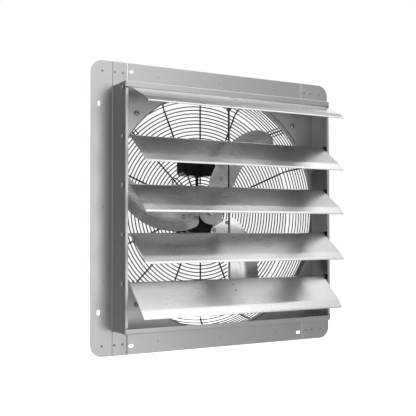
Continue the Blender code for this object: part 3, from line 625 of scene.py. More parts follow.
def guard_bolts():
    for k, (a, b) in enumerate(((1, 1), (-1, 1), (-1, -1), (1, -1))):
        shape = Shape()
        at = (a * FOOT_AT, 0.0, b * FOOT_AT)
        head = [(0.0070, 0.0001), (0.0070, 0.0010), (0.0066, 0.0020), (0.0055, 0.0031), (0.0042, 0.0038), (0.0032, 0.0041), (0.0026, 0.0040), (0.0023, 0.0034)]
        lathe(shape, head, 32, at, (0, -1, 0))
        # the hex socket is near-black: painted shade inside the socket
        lathe(shape, [(0.0023, 0.0034), (0.0021, 0.0016), (0, 0.0012)], 6, at, (0, -1, 0), 1)
        lathe(shape, [(0, 0.0140), (0.0026, 0.0140), (0.0030, 0.0135), (0.0030, 0.0000)], 20, at, (0, 1, 0))
        lathe(shape, [(0.0031, 0.0066), (0.0054, 0.0066), (0.0058, 0.0070), (0.0058, 0.0106), (0.0054, 0.0110), (0.0031, 0.0110)], 6, at, (0, 1, 0), closed=True)
        lathe(shape, [(0.0031, 0.0061), (0.0068, 0.0061), (0.0068, 0.0066), (0.0031, 0.0066)], 28, at, (0, 1, 0), closed=True)
        shape.object(f"panel_bolt_{k + 1}", [BOLT_MAT, DARK_STEEL_SHADE_MAT], ROOT, [f"guard_bolt_{k + 1}"], 30)


guard_bolts()


# ---------------------------------------------------------------- wire guard
SIDE = ((0.2860, 0.1000), (0.2940, 0.0978), (0.3015, 0.0915), (0.3060, 0.0820), (0.3110, 0.0560), (0.3150, 0.0320), (0.3175, 0.0042))
RING_PITCH = 0.00935


def side_curve(count=40):
    """The side path, smoothed, as evenly spaced (radius, y) points."""
    pts = [Vector(p) for p in SIDE]
    for _ in range(2):
        out = [pts[0]]
        for a, b in zip(pts, pts[1:]):
            out += [a.lerp(b, 0.25), a.lerp(b, 0.75)]
        out.append(pts[-1])
        pts = out
    length = [0.0]
    for a, b in zip(pts, pts[1:]):
        length.append(length[-1] + (b - a).length)
    res = []
    for i in range(count + 1):
        s = length[-1] * i / count
        k = max(j for j in range(len(pts) - 1) if length[j] <= s + 1e-12)
        f = min(1.0, (s - length[k]) / (length[k + 1] - length[k]))
        res.append(pts[k].lerp(pts[k + 1], f))
    return res, length[-1]


def guard():
    wire, spoke = 0.0015, 0.0021
    curve, length = side_curve(60)
    face = Shape()
    r = 0.0725
    while r < 0.2855:
        ring(face, r, GUARD_Y - wire - 0.0001, wire, 132, 6)
        r += RING_PITCH
    for k in range(16):
        a = math.radians(22.5 * k)
        pts = [(q * math.cos(a), GUARD_Y + spoke - 0.0004, q * math.sin(a)) for q in (0.0700, 0.14, 0.21, 0.2860)]
        tube(face, pts, spoke, 8)
    # short wires beside the diagonals, round the motor's ears
    for k in range(4):
        a = math.radians(45 + 90 * k)
        c, s = math.cos(a), math.sin(a)
        path = []
        for q in (0.0715, 0.0900, 0.1060):
            path.append((q, 0.0092))
        for i in range(1, 8):
            t = math.pi * i / 8
            path.append((0.1060 + 0.0092 * math.sin(t), 0.0092 * math.cos(t)))
        for q in (0.1060, 0.0900, 0.0715):
            path.append((q, -0.0092))
        tube(face, [(u * c - v * s, GUARD_Y + 0.0008, u * s + v * c) for u, v in path], 0.0014, 8)
    face.object("guard_face_wires", [WIRE_MAT], ROOT, ["guard_face"], 50)
    side = Shape()
    step = RING_PITCH
    count = int(length / step)
    for i in range(1, count + 1):
        s = min(length, step * i - 0.0020)
        f = s / length * 60
        k = min(59, int(f))
        p = curve[k].lerp(curve[k + 1], f - k)
        ring(side, p.x - wire * 0.9, p.y, wire * 0.9, 132, 6)
    ring(side, curve[-1].x, curve[-1].y + 0.0012, 0.0017, 132, 8)
    for k in range(16):
        a = math.radians(22.5 * k)
        pts = [(p.x * math.cos(a), p.y, p.x * math.sin(a)) for p in [q + Vector((0.0012, 0.0010)) for q in curve[::3]]]
        pts[-1] = (pts[-1][0], max(pts[-1][1], 0.0052), pts[-1][2])
        tube(side, pts, spoke, 8)
    # feet: a wire loop down beside each diagonal spoke, round the panel bolt
    for k in range(4):
        a = math.radians(45 + 90 * k)
        c, s = math.cos(a), math.sin(a)
        run = [(0.2640, 0.1004), (0.2760, 0.1004)] + [(p.x + 0.0010, p.y + 0.0006) for p in curve[2:57:3]]
        run += [(0.3180, 0.0068), (0.3205, 0.0052), (0.3267, 0.0050)]
        pts = [(u, y, 0.0092) for u, y in run]
        for i in range(1, 8):
            t = math.pi * i / 8
            pts.append((0.3267 + 0.0092 * math.sin(t), 0.0050, 0.0092 * math.cos(t)))
        pts += [(u, y, -0.0092) for u, y in reversed(run)]
        tube(side, [(u * c - v * s, y, u * s + v * c) for u, y, v in pts], 0.0014, 8)
    side.object("guard_side_wires", [WIRE_MAT], ROOT, ["guard_side"], 50)


guard()


# ---------------------------------------------------------------- motor
def turn(k, u, v):
    a = math.radians(45 + 90 * k)
    return (u * math.cos(a) - v * math.sin(a), u * math.sin(a) + v * math.cos(a))


def motor():
    n = 72
    shape = Shape()
    prof = fillet([(0.0100, 0.0760), (0.0200, 0.0760), (0.0220, 0.0822), (0.0480, 0.0850), (0.0545, 0.0872), (0.0560, 0.0972), (0.0680, 0.0972), (0.0680, 0.1060)], 0.0016, 4)
    back = [(0.0640, 0.1060), (0.0640, 0.1010), (0.0520, 0.1010), (0.0520, 0.0930), (0.0465, 0.0890), (0.0153, 0.0870), (0.0153, 0.0800), (0.0100, 0.0800)]
    lathe(shape, [(p.x, p.y) for p in prof] + back, n, (0, 0, 0), (0, 1, 0), closed=True)
    for k in range(4):
        tip = []
        for i in range(9):
            t = math.radians(-90 + 180 * i / 8)
            tip.append((0.0862 + 0.0068 * math.cos(t), 0.0070 * math.sin(t)))
        outline = [turn(k, *p) for p in [(0.0655, -0.0085), (0.0740, -0.0070)] + tip + [(0.0740, 0.0070), (0.0655, 0.0085)]]
        plate(shape, outline, [circle(*turn(k, 0.0850, 0), 0.0029, 16)], 0.1016, 0.1050, "xz")
    # ribs between the bearing boss and the rim
    for k in range(8):
        a = math.radians(22.5 + 45 * k)
        c, s = math.cos(a), math.sin(a)
        pts = [(u * c - v * s, u * s + v * c) for u, v in ((0.0205, -0.0016), (0.0490, -0.0016), (0.0490, 0.0016), (0.0205, 0.0016))]
        plate(shape, pts, [], 0.0814, 0.0865, "xz")
    shape.object("motor_front_shell", [MOTOR_MAT], ROOT, ["motor_front_cap"], 32)
    shape = Shape()
    lathe(shape, [(0.0655, 0.1064), (0.0676, 0.1064), (0.0680, 0.1068), (0.0680, 0.1090), (0.0670, 0.1098), (0.0670, 0.1680), (0.0680, 0.1688), (0.0680, 0.1716), (0.0676, 0.1720), (0.0655, 0.1720)], n, (0, 0, 0), (0, 1, 0), closed=True)
    shape.object("motor_barrel", [MOTOR_MAT], ROOT, ["motor_housing"], 32)
    shape = Shape()
    prof = fillet([(0.0680, 0.1723), (0.0680, 0.1830), (0.0560, 0.1910), (0.0290, 0.1960), (0.0180, 0.1960), (0.0165, 0.1930), (0.0, 0.1930)], 0.0022, 4)
    back = [(0, 0.1915), (0.0153, 0.1915), (0.0153, 0.1870), (0.0540, 0.1870), (0.0640, 0.1800), (0.0640, 0.1723)]
    pts = [(max(0.0, p.x), p.y) for p in prof]
    lathe(shape, pts, n, (0, 0, 0), (0, 1, 0))
    lathe(shape, back, n, (0, 0, 0), (0, 1, 0))
    lathe(shape, [(0.0640, 0.1723), (0.0680, 0.1723)], n, (0, 0, 0), (0, 1, 0))
    for k in range(12):
        a = math.radians(30 * k + 15)
        c, s = math.cos(a), math.sin(a)
        verts = []
        for u, y in ((0.0300, 0.1962), (0.0555, 0.1914), (0.0555, 0.1890), (0.0300, 0.1938)):
            for v in (-0.0017, 0.0017):
                verts.append((u * c - v * s, y, u * s + v * c))
        lim = [(x, min(y, 0.1959), z) for x, y, z in verts]
        shape.add(lim, [(0, 1, 3, 2), (2, 3, 5, 4), (4, 5, 7, 6), (6, 7, 1, 0), (0, 2, 4, 6), (1, 7, 5, 3)])
    for k in range(4):
        x, z = turn(k, 0.0600, 0)
        lathe(shape, [(0.0042, 0.1835), (0.0042, 0.1885), (0.0036, 0.1893), (0, 0.1893)], 6, (x, 0, z), (0, 1, 0), 1)
    shape.object("motor_rear_shell", [MOTOR_MAT, RIVET_MAT], ROOT, ["motor_rear_cap"], 32)
    for k in range(4):
        x, z = turn(k, 0.0850, 0)
        shape = Shape()
        lathe(shape, [(0, 0.0945), (0.0028, 0.0946), (0.0042, 0.0955), (0.0047, 0.0970), (0.0048, 0.0985), (0.0025, 0.0985), (0.0025, 0.1053)], 24, (x, 0, z), (0, 1, 0))
        lathe(shape, [(0.0025, 0.1053), (0.0045, 0.1053), (0.0048, 0.1058), (0.0048, 0.1085), (0.0045, 0.1090), (0, 0.1090)], 6, (x, 0, z), (0, 1, 0))
        shape.object(f"motor_screw_{k + 1}", [BOLT_MAT], ROOT, [f"motor_bolt_{k + 1}"], 30)


def junction_box():
    x, z0, z1, y0, y1 = 0.0480, 0.0930, 0.1650, 0.1020, 0.1440
    shape = Shape()
    out = rounded(-x, z0, x, z1, (0.010, 0.010, 0.006, 0.006), 5)
    inn = rounded(-x + 0.0016, z0 + 0.0016, x - 0.0016, z1 - 0.0016, (0.0085, 0.0085, 0.005, 0.005), 5)
    m = len(out)
    verts = [(p[0], y0 + 0.0008, p[1]) for p in out]
    verts += [(p[0] * 0.985, y0, (p[1] - 0.129) * 0.98 + 0.129) for p in out]
    faces = [(i, (i + 1) % m, m + (i + 1) % m, m + i) for i in range(m)] + [tuple(range(m, 2 * m))]
    base = len(verts)
    verts += [(p[0], y1, p[1]) for p in out]
    faces += [(i, (i + 1) % m, base + (i + 1) % m, base + i) for i in range(m)]
    k = len(verts)
    verts += [(p[0], y1, p[1]) for p in inn]
    faces += [(base + i, base + (i + 1) % m, k + (i + 1) % m, k + i) for i in range(m)]
    j = len(verts)
    verts += [(p[0], y0 + 0.0016, p[1]) for p in inn]
    faces += [(k + i, k + (i + 1) % m, j + (i + 1) % m, j + i) for i in range(m)] + [tuple(range(j, j + m))]
    shape.add(verts, faces)
    for sx, z in ((-0.0405, 0.1560), (0.0405, 0.1560)):
        dome(shape, (sx, y0, z), (0, -1, 0), 0.0034, 0.0016, 18, 1)
    shape.object("junction_box_shell", [BOX_MAT, BOLT_MAT], ROOT, ["junction_box"], 30)
    shape = Shape()
    plate(shape, rounded(-x, z0, x, z1, (0.010, 0.010, 0.006, 0.006), 5), [], y1 + 0.0003, y1 + 0.0018, "xz")
    plate(shape, rounded(-x + 0.006, z0 + 0.006, x - 0.006, z1 - 0.006, (0.006,) * 4, 5), [], y1 + 0.0016, y1 + 0.0022, "xz")
    for sx, z in ((-0.0435, 0.1605), (0.0435, 0.1605), (-0.0435, 0.0985), (0.0435, 0.0985)):
        dome(shape, (sx, y1 + 0.0018, z), (0, 1, 0), 0.0021, 0.0004, 14, 1)
    shape.object("junction_lid_shell", [BOX_MAT, BOLT_MAT], ROOT, ["junction_box_lid"], 30, (0.0003, 2))


def small_motor_parts():
    shape = Shape()
    tube(shape, [(0, 0.1200, 0.0660 + 0.0370 * i / 12) for i in range(13)], 0.0042, 20)
    shape.object("motor_lead_sleeve", [RUBBER_MAT], ROOT, ["motor_lead"], 40)
    shape = Shape()
    z0, z1 = 0.0930, 0.1650
    lathe(shape, [(0.0046, z0 - 0.0035), (0.0080, z0 - 0.0035), (0.0085, z0 - 0.0030), (0.0085, z0 - 0.0003), (0.0058, z0 - 0.0003), (0.0058, z0 + 0.0035), (0.0046, z0 + 0.0035)],
          32, (0, 0.1200, 0), (0, 0, 1), closed=True)
    shape.object("lead_grommet_ring", [RUBBER_MAT], ROOT, ["lead_grommet"], 32)
    shape = Shape()
    lathe(shape, [(0.0045, z1 - 0.004), (0.0100, z1 - 0.004), (0.0100, z1 + 0.0003), (0.0100, z1 + 0.0060), (0.0095, z1 + 0.0062), (0.0095, z1 + 0.0130), (0.0085, z1 + 0.0150), (0.0045, z1 + 0.0150)],
          40, (0, 0.1200, 0), (0, 0, 1), closed=True)
    lathe(shape, [(0.0098, z1 + 0.0003), (0.0136, z1 + 0.0003), (0.0140, z1 + 0.0008), (0.0140, z1 + 0.0055), (0.0136, z1 + 0.0060), (0.0098, z1 + 0.0060)], 6, (0, 0.1200, 0), (0, 0, 1), closed=True)
    shape.object("inlet_gland_body", [NYLON_MAT], ROOT, ["inlet_gland"], 32)


motor()
junction_box()
small_motor_parts()


# ---------------------------------------------------------------- fan
def ease(x):
    x = min(1.0, max(0.0, x))
    return x * x * (3 - 2 * x)


def line(points, u):
    if u <= points[0][0]:
        return points[0][1]
    for k in range(len(points) - 1):
        (a, p), (b, q) = points[k], points[k + 1]
        if u <= b:
            before = points[k - 1] if k else points[k]
            after = points[k + 2] if k + 2 < len(points) else points[k + 1]
            h = b - a
            m0 = (q - before[1]) / (b - before[0]) * h
            m1 = (after[1] - p) / (after[0] - a) * h
            t = (u - a) / h
            return ((2 * t**3 - 3 * t**2 + 1) * p + (t**3 - 2 * t**2 + t) * m0 + (-2 * t**3 + 3 * t**2) * q + (t**3 - t**2) * m1)
    return points[-1][1]


ROOT_PITCH = 0.20
TRAIL = ((0.042, 0.0330), (0.047, 0.0410), (0.056, 0.0460), (0.086, 0.0530), (0.126, 0.0550), (0.175, 0.0460), (0.214, 0.0285), (0.240, 0.0090))
LEAD = ((0.042, -0.0200), (0.047, -0.0265), (0.056, -0.0290), (0.093, -0.0285), (0.148, -0.0270), (0.181, -0.043), (0.210, -0.060), (0.235, -0.078), (0.2500, -0.0920))
CREASE = ((0.038, 0.040), (0.085, 0.036), (0.111, 0.027), (0.144, 0.018), (0.179, 0.008), (0.205, -0.007), (0.234, -0.031), (0.2600, -0.050))


def blade_y(u, v):
    c = line(CREASE, u)
    y = BLADE_Y - ROOT_PITCH * v * (1 - ease((u - 0.098) / 0.050)) + 0.140 * ease((u - 0.094) / 0.050) * max(0.0, c - v) * ease((c - v) / 0.030)
    over = v - c
    soft = 0.010
    bend = (over if over > soft else (over + soft) ** 2 / (4 * soft)) if over > -soft else 0.0
    return y - 0.46 * ease((u - 0.060) / 0.080) * bend


def blade_plan(s, t):
    u_t = 0.042 + (0.240 - 0.042) * s
    u_l = 0.042 + (0.2500 - 0.042) * s
    a = Vector((u_l, line(LEAD, u_l)))
    b = Vector((u_t, line(TRAIL, u_t)))
    p = a.lerp(b, t)
    d = Vector((0.92, -0.20)).normalized()
    return p + d * (math.sin(math.pi * t) ** 0.9 * 0.0260 * s**3)


def blade(k, angle):
    a = math.radians(angle)
    rows, cols = 56, 40
    mid = [[None] * (cols + 1) for _ in range(rows + 1)]
    for i in range(rows + 1):
        for j in range(cols + 1):
            p = blade_plan(i / rows, j / cols)
            mid[i][j] = Vector((p.x, blade_y(p.x, p.y), p.y))
    verts, faces, index = [], [], {}
    normals = {}
    for i in range(rows + 1):
        for j in range(cols + 1):
            du = mid[min(i + 1, rows)][j] - mid[max(i - 1, 0)][j]
            dv = mid[i][min(j + 1, cols)] - mid[i][max(j - 1, 0)]
            normal = dv.cross(du).normalized()
            for layer in (-1, 1):
                q = mid[i][j] + normal * (layer * BLADE_T / 2)
                index[i, j, layer] = len(verts)
                verts.append((q.x * math.cos(a) - q.z * math.sin(a), q.y, q.x * math.sin(a) + q.z * math.cos(a)))
            normals[i, j] = normal
    for i in range(rows):
        for j in range(cols):
            for layer in (-1, 1):
                faces.append((index[i, j, layer], index[i + 1, j, layer], index[i + 1, j + 1, layer], index[i, j + 1, layer]))
    rim = [(i, 0) for i in range(rows)] + [(rows, j) for j in range(cols)] + [(i, cols) for i in range(rows, 0, -1)] + [(0, j) for j in range(cols, 0, -1)]
    for m, p in enumerate(rim):
        q = rim[(m + 1) % len(rim)]
        faces.append((index[(*p, -1)], index[(*q, -1)], index[(*q, 1)], index[(*p, 1)]))
    shape = Shape()
    shape.add(verts, faces)
    for u, v in ((0.050, 0.021), (0.050, -0.018), (0.085, 0.018), (0.085, -0.015)):
        y = blade_y(u, v) - BLADE_T / 2
        at = (u * math.cos(a) - v * math.sin(a), y, u * math.sin(a) + v * math.cos(a))
        lean = (ROOT_PITCH * math.sin(a), -1, -ROOT_PITCH * math.cos(a))
        # painted shadow: a thin near-black disc, wider than the head, drawn as the shadow ring round each rivet
        dome(shape, at, lean, 0.0050, 0.0005, 20, 2)
        dome(shape, at, lean, 0.0038, 0.0023, 20, 1)
    shape.object(f"blade_sheet_{k}", [BLADE_MAT, BOLT_MAT, DARK_STEEL_SHADE_MAT], "fan", [f"fan_blade_{k}"], 40)


def hub():
    y = BLADE_Y + BLADE_T / 2 + 0.0004
    shape = Shape()
    prof = [(0.0063, 0.0274), (0.0067, 0.0270), (0.0146, 0.0270), (0.0156, 0.0274), (0.0160, 0.0284), (0.0160, y + 0.0033), (0.0336, y + 0.0033), (0.0340, y + 0.0037), (0.0340, y + 0.0059), (0.0336, y + 0.0063),
            (0.0160, y + 0.0063), (0.0160, 0.0614), (0.0154, 0.0620), (0.0063, 0.0620)]
    lathe(shape, prof, 64, (0, 0, 0), (0, 1, 0), closed=True)
    lathe(shape, [(0.0032, 0.0150), (0.0032, 0.0162), (0.0026, 0.0168), (0.0015, 0.0168), (0.0014, 0.0150), (0, 0.0148)], 16, (0, 0.0560, 0), (0.5, 0, 0.866), 1)
    shape.object("hub_body", [HUB_MAT, DARK_STEEL_SHADE_MAT], "fan", ["fan_hub"], 30)
    shape = Shape()
    verts, flat, sides, patches = [], [], [], []
    for angle in BLADES:
        a = math.radians(angle)
        c, s = math.cos(a), math.sin(a)

        def corner(u, v, lift=True):
            d = -ROOT_PITCH * v * ease((u - 0.0335) / 0.0085) if lift else 0.0
            verts.append((u * c - v * s, y + d, u * s + v * c))
            verts.append((u * c - v * s, y + d + 0.0030, u * s + v * c))
            return len(verts) - 2

        neck = []
        for i in range(5):
            u = 0.0335 + 0.0085 * i / 4
            half = 0.0165 - 0.0015 * ease(i / 4)
            neck.append([corner(u, half * j) for j in (-1.0, -0.5, 0.0, 0.5, 1.0)])
        for i in range(4):
            for j in range(4):
                p, q = neck[i][j:j + 2], neck[i + 1][j:j + 2]
                patches += [(p[0], q[0], q[1]), (p[0], q[1], p[1])]
        rim = [(0.0435, -0.0185), (0.0452, -0.0215), (0.0480, -0.0240), (0.0900, -0.0203)]
        rim += [(0.0900 + 0.0060 * math.sin(t), -0.0143 - 0.0060 * math.cos(t)) for t in (0.4, 0.8, 1.2, 1.57)]
        end = [corner(*p) for p in rim] + [corner(u, -v) for u, v in reversed(rim)]
        patches.append((neck[4][0], *end, *reversed(neck[4][1:])))
        arc = []
        for j in range(13):
            b = math.radians(28 + 64 * j / 12)
            arc.append(corner(0.0380 * math.cos(b), 0.0380 * math.sin(b), False))
        flat += neck[0] + arc
        sides += [row[0] for row in neck] + end + [row[4] for row in reversed(neck)] + arc
    bore = []
    for i in range(40):
        b = -2 * math.pi * i / 40
        verts += [(0.0164 * math.cos(b), y + up, 0.0164 * math.sin(b)) for up in (0.0, 0.0030)]
        bore.append(len(verts) - 2)
    faces = [tuple(i + k for i in patch) for patch in patches for k in (0, 1)]
    bm = bmesh.new()
    made = {}
    for i in flat + bore:
        made[i] = bm.verts.new((verts[i][0], y, verts[i][2]))
    back = {v: i for i, v in made.items()}
    edges = []
    for loop in (flat, bore):
        edges += [bm.edges.new((made[loop[i]], made[loop[(i + 1) % len(loop)]])) for i in range(len(loop))]
    bmesh.ops.triangle_fill(bm, use_beauty=True, use_dissolve=False, edges=edges)
    for f in bm.faces:
        one = [back[v] for v in f.verts]
        faces += [tuple(one), tuple(i + 1 for i in one)]
    bm.free()
    for loop in (sides, bore):
        for i, p in enumerate(loop):
            q = loop[(i + 1) % len(loop)]
            faces.append((p, q, q + 1, p + 1))
    shape.add(verts, faces)
    for angle in BLADES:
        a = math.radians(angle)
        for u, v in ((0.050, 0.021), (0.050, -0.018), (0.085, 0.018), (0.085, -0.015)):
            at = (u * math.cos(a) - v * math.sin(a), y + 0.0030 - ROOT_PITCH * v, u * math.sin(a) + v * math.cos(a))
            dome(shape, at, (-ROOT_PITCH * math.sin(a), 1, ROOT_PITCH * math.cos(a)), 0.0030, 0.0014, 18, 1)
    shape.object("spider_plate", [HUB_MAT, BOLT_MAT], "fan", ["hub_spider"], 30, (0.0003, 2))
    shape = Shape()
    lathe(shape, [(0, 0.0210), (0.0054, 0.0210), (0.0060, 0.0216), (0.0060, 0.1846), (0.0056, 0.1850), (0, 0.1850)], 40, (0, 0, 0), (0, 1, 0))
    shape.object("shaft_rod", [SHAFT_MAT], "fan", ["motor_shaft"], 30)


for number, where in enumerate(BLADES):
    blade(number + 1, where)
hub()


# ---------------------------------------------------------------- louvers
def louver_point(k, along, up):
    a = math.radians(CHORD[k])
    c, n = Vector((-math.cos(a), -math.sin(a))), Vector((-math.sin(a), math.cos(a)))
    p = c * along + n * up
    return Vector((PIVOT_Y + p.x, PIVOT_TOP - k * PITCH + p.y))


def louver(k):
    body = f"louver_{k + 1}_body"
    r = ROD_R + 0.0003 + LOUVER_T / 2
    hem = [(r * math.cos(math.radians(a)), r * math.sin(math.radians(a))) for a in range(-75, -249, -14)]
    face = fillet([hem[-1], (0.0030, 0.0038), (0.0865, 0.0044), (0.0945, 0.0033)], [0.004, 0.030], 8)
    # front lip, its edge folded back flat on the upper side
    u, n = Vector((0.9742, -0.2257)), Vector((0.2257, 0.9742))
    tip = Vector((0.1104, -0.0004))
    nose = tip + n * 0.00055
    fold = [tip] + [nose + (u * math.sin(t) - n * math.cos(t)) * 0.00055 for t in (0.52, 1.05, 1.57, 2.09, 2.62)]
    fold += [tip + n * 0.0011, tip + n * 0.0011 - u * 0.0053]
    flat = hem[:-1] + [(p.x, p.y) for p in face + fold]
    path = [louver_point(k, *p) for p in flat]
    trim = (0.0015, 0.0080) if k == 0 else (0.0012, 0.0012)

    def ends(i):
        f = min(1.0, max(0.0, (flat[i][0] - 0.0865) / 0.0240))
        return (trim[0] * f, trim[1] * f)

    shape = Shape()
    bent(shape, path, LOUVER_T - 0.0001, -LOUVER_X, LOUVER_X, "x", cuts=10, ends=ends)
    c, n = louver_point(k, 1, 0) - louver_point(k, 0, 0), louver_point(k, 0, 1) - louver_point(k, 0, 0)
    for along in (0.0200, 0.0375):
        p = louver_point(k, along, 0.0044)
        dome(shape, (-0.0096, p.x, p.y), (0, n.x, n.y), 0.0030, 0.0011, 18, 1)
    shape.object(f"louver_sheet_{k + 1}", [LOUVER_MAT, RIVET_MAT], body, [f"louver_{k + 1}"], 24)
    shape = Shape()
    at = (0, PIVOT_Y, PIVOT_TOP - k * PITCH)
    for s in (-1, 1):
        lathe(shape, [(0.0025, 0.2820), (0.0025, 0.2962)], 24, at, (s, 0, 0))
        lathe(shape, [(0.0025, 0.2962), (0.0048, 0.2967), (0.0049, 0.2972), (0.0044, 0.2980), (0.0033, 0.2987), (0.0018, 0.2990), (0, 0.2990)], 24, at, (s, 0, 0), 1)
    lathe(shape, [(0.0025, -0.2830), (0.0025, 0.2830)], 24, at, (1, 0, 0))
    shape.object(f"rod_{k + 1}", [ROD_MAT, HEAD_MAT], body, [f"louver_rod_{k + 1}"], 32)
    for s, side in ((-1, "left"), (1, "right")):
        shape = Shape()
        inner = BOX_X - T
        prof = [(0.0028, 0.2862), (0.0050, 0.2862), (0.0056, 0.2868), (0.0057, 0.2898), (0.0068, 0.2904), (0.0070, 0.2912), (0.0070, inner - 0.0006), (0.0066, inner - 0.0003), (0.0041, inner - 0.0003), (0.0041, BOX_X + 0.0003),
                (0.0048, BOX_X + 0.0003), (0.0048, BOX_X + 0.0010), (0.0045, BOX_X + 0.0014), (0.0028, BOX_X + 0.0014)]
        lathe(shape, prof, 32, at, (s, 0, 0), closed=True)
        shape.object(f"bush_{side}_{k + 1}", [NYLON_MAT], ROOT, [f"pivot_bush_{side}_{k + 1}"], 30)


for number in range(5):
    louver(number)


def tie_bar():
    y = PIVOT_Y + 0.0165
    z0, z1 = PIVOT_TOP - 4 * PITCH - 0.0270, PIVOT_TOP - 0.0270
    shape = Shape()
    plate(shape, rounded(y - 0.0035, z0 - 0.0070, y + 0.0035, z1 + 0.0070, (0.0033,) * 4, 6), [], -0.0010, 0.0010, "yz")
    for k in range(5):
        at = (0, y, PIVOT_TOP - k * PITCH - 0.0270)
        lathe(shape, [(0.0016, -0.0010), (0.0016, 0.0046), (0.0028, 0.0046), (0.0029, 0.0050), (0.0024, 0.0060), (0.0012, 0.0062), (0, 0.0062)], 20, at, (-1, 0, 0), 1)
        lathe(shape, [(0.0022, 0.0008), (0.0020, 0.0016), (0.0010, 0.0019), (0, 0.0019)], 20, at, (1, 0, 0), 1)
    shape.object("tie_bar_strip", [BAR_MAT, RIVET_MAT], "tie_bar_body", ["tie_bar"], 30, (0.00025, 2))


tie_bar()


# ---------------------------------------------------------------- nodes kept from the frame
KEEP = {"stator": COPPER_MAT, "rotor_core": CORE_MAT, "front_bearing": SHAFT_MAT, "rear_bearing": SHAFT_MAT, "run_capacitor": CAN_MAT}
KEEP.update({f"louver_clip_{k}": CLIP_MAT for k in range(1, 6)})
for node, mat in KEEP.items():
    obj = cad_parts[node]
    obj.data.materials.clear()
    obj.data.materials.append(mat)


# ---------------------------------------------------------------- studio
def soft_box(name, start, end, low, high, glow, radius=3.0):
    """A curved diffuser standing round the part: azimuths from +X towards +Y in degrees,
    heights in metres. It lights the part and is hidden from the camera itself."""
    verts, faces = [], []
    steps = max(2, int((end - start) / 5))
    for i in range(steps + 1):
        t = math.radians(start + (end - start) * i / steps)
        verts += [(radius * math.cos(t), radius * math.sin(t), z) for z in (low, high)]
    for i in range(steps):
        faces.append((2 * i, 2 * i + 2, 2 * i + 3, 2 * i + 1))
    mat = bpy.data.materials.new(name + "_glow")
    mat.use_nodes = True
    nodes, links = mat.node_tree.nodes, mat.node_tree.links
    nodes.clear()
    out = nodes.new("ShaderNodeOutputMaterial")
    light = nodes.new("ShaderNodeEmission")
    light.inputs["Color"].default_value = (0.985, 1.0, 1.0, 1)
    light.inputs["Strength"].default_value = glow
    links.new(light.outputs[0], out.inputs["Surface"])
    mesh = bpy.data.meshes.new(name)
    mesh.from_pydata(verts, [], faces)
    mesh.materials.append(mat)
    obj = bpy.data.objects.new(name, mesh)
    bpy.context.scene.collection.objects.link(obj)
    obj.visible_camera = False
    return obj


def soft_roof(name, x0, x1, y0, y1, glow, height=2.6):
    """A flat diffuser overhead, facing down."""
    mat = bpy.data.materials.new(name + "_glow")
    mat.use_nodes = True
    nodes, links = mat.node_tree.nodes, mat.node_tree.links
    nodes.clear()
    out = nodes.new("ShaderNodeOutputMaterial")
    light = nodes.new("ShaderNodeEmission")
    light.inputs["Color"].default_value = (0.985, 1.0, 1.0, 1)
    light.inputs["Strength"].default_value = glow
    links.new(light.outputs[0], out.inputs["Surface"])
    mesh = bpy.data.meshes.new(name)
    mesh.from_pydata([(x0, y0, height), (x1, y0, height), (x1, y1, height), (x0, y1, height)], [], [(0, 3, 2, 1)])
    mesh.materials.append(mat)
    obj = bpy.data.objects.new(name, mesh)
    bpy.context.scene.collection.objects.link(obj)
    obj.visible_camera = False


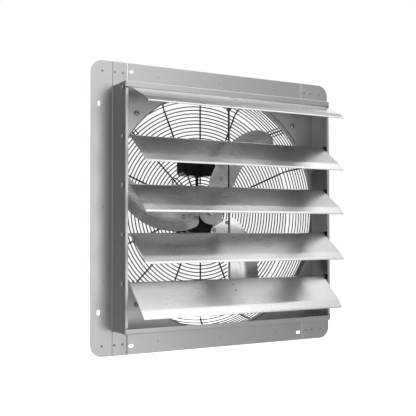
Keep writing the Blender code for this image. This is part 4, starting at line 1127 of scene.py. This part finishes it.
def studio():
    scene = bpy.context.scene
    scene.view_settings.view_transform = "Standard"
    world = bpy.data.worlds.new("studio")
    world.use_nodes = True
    scene.world = world
    nodes, links = world.node_tree.nodes, world.node_tree.links
    out = nodes["World Output"]
    lit = nodes["Background"]
    lit.inputs["Color"].default_value = (0.02, 0.02, 0.02, 1)
    lit.inputs["Strength"].default_value = 1.0
    white = nodes.new("ShaderNodeBackground")
    white.inputs["Color"].default_value = (1, 1, 1, 1)
    white.inputs["Strength"].default_value = 1.0
    path = nodes.new("ShaderNodeLightPath")
    mix = nodes.new("ShaderNodeMixShader")
    links.new(path.outputs["Is Camera Ray"], mix.inputs[0])
    links.new(lit.outputs[0], mix.inputs[1])
    links.new(white.outputs[0], mix.inputs[2])
    links.new(mix.outputs[0], out.inputs["Surface"])
    for box in BOXES:
        soft_box(*box)
    for roof in ROOFS:
        soft_roof(*roof)
    t = Tree("floor_paper")
    fine = t.noise(40, (1, 1, 1), 3.0)
    t.to(t.mix(t.spread(fine, 0.0, 1.0), (0.44, 0.44, 0.44), (0.46, 0.46, 0.46)), "Base Color")
    t.set(Roughness=0.9, Emission_Color=(1, 1, 1, 1))
    # the paper is lit up from below, most towards the back
    split = t.nodes.new("ShaderNodeSeparateXYZ")
    t.links.new(t.coord.outputs["Object"], split.inputs[0])
    back = t.spread(split.outputs["Y"], 0.0, FLOOR_GLOW, 1.0, 1.9)
    back = t.add(back, t.spread(split.outputs["X"], 0.0, 1.0, -0.7, 0.0), "MULTIPLY")
    back = t.add(back, t.spread(split.outputs["Y"], 0.20, 0.0, -0.8, 0.1))
    seen = t.nodes.new("ShaderNodeLightPath")
    t.to(t.add(back, t.spread(seen.outputs["Is Camera Ray"], 0.0, 0.9, 0.0, 1.0), "MAXIMUM"), "Emission Strength")
    mesh = bpy.data.meshes.new("floor")
    mesh.from_pydata([(-9, -9, -1.0), (9, -9, -1.0), (9, 9, -1.0), (-9, 9, -1.0)], [], [(0, 1, 2, 3)])
    mesh.materials.append(t.mat)
    floor = bpy.data.objects.new("floor", mesh)
    scene.collection.objects.link(floor)


# name, from, to (degrees), low, high (m), brightness
BOXES = (
    ("low_back", 85, 110, -0.98, -0.30, 6.0),
    ("back_right_low", 22, 85, -0.98, 0.0, 1.9),
    ("back_high", 30, 98, 0.65, 1.90, 1.7),
    ("back_top", 25, 85, 1.90, 3.80, 0.30),
    ("right_high", 330, 360, 0.65, 1.90, 2.2),
    ("front_strip", 270, 292, -0.98, 0.65, 1.45),
    ("front_core", 272, 285, -0.98, 0.20, 1.40, 2.9),
    ("front_left", 256, 270, -0.45, 0.65, 0.70),
    ("left_side", 165, 218, -0.45, 1.90, 0.55),
    ("front_mid", 258, 300, 0.65, 1.90, 0.85),
    ("front_top", 255, 315, 1.90, 3.80, 1.6),
    ("right_top", 315, 405, 1.90, 3.80, 0.41),
    ("front_right", 292, 315, -0.45, 1.90, 0.32),
    ("right_low", 315, 405, -0.45, 0.65, 0.24),
    ("left_top", 120, 180, 1.90, 3.80, 0.30),
)
ROOFS = (
    ("roof_left", -1.2, 0.5, -1.9, 0.1, 0.8),
    ("roof_right", 0.5, 2.4, -1.9, -0.5, 1.35),
    ("roof_right_mid", 0.5, 2.4, -0.5, 0.8, 1.5),
)
FLOOR_GLOW = 1.4

studio()

bpy.context.view_layer.update()
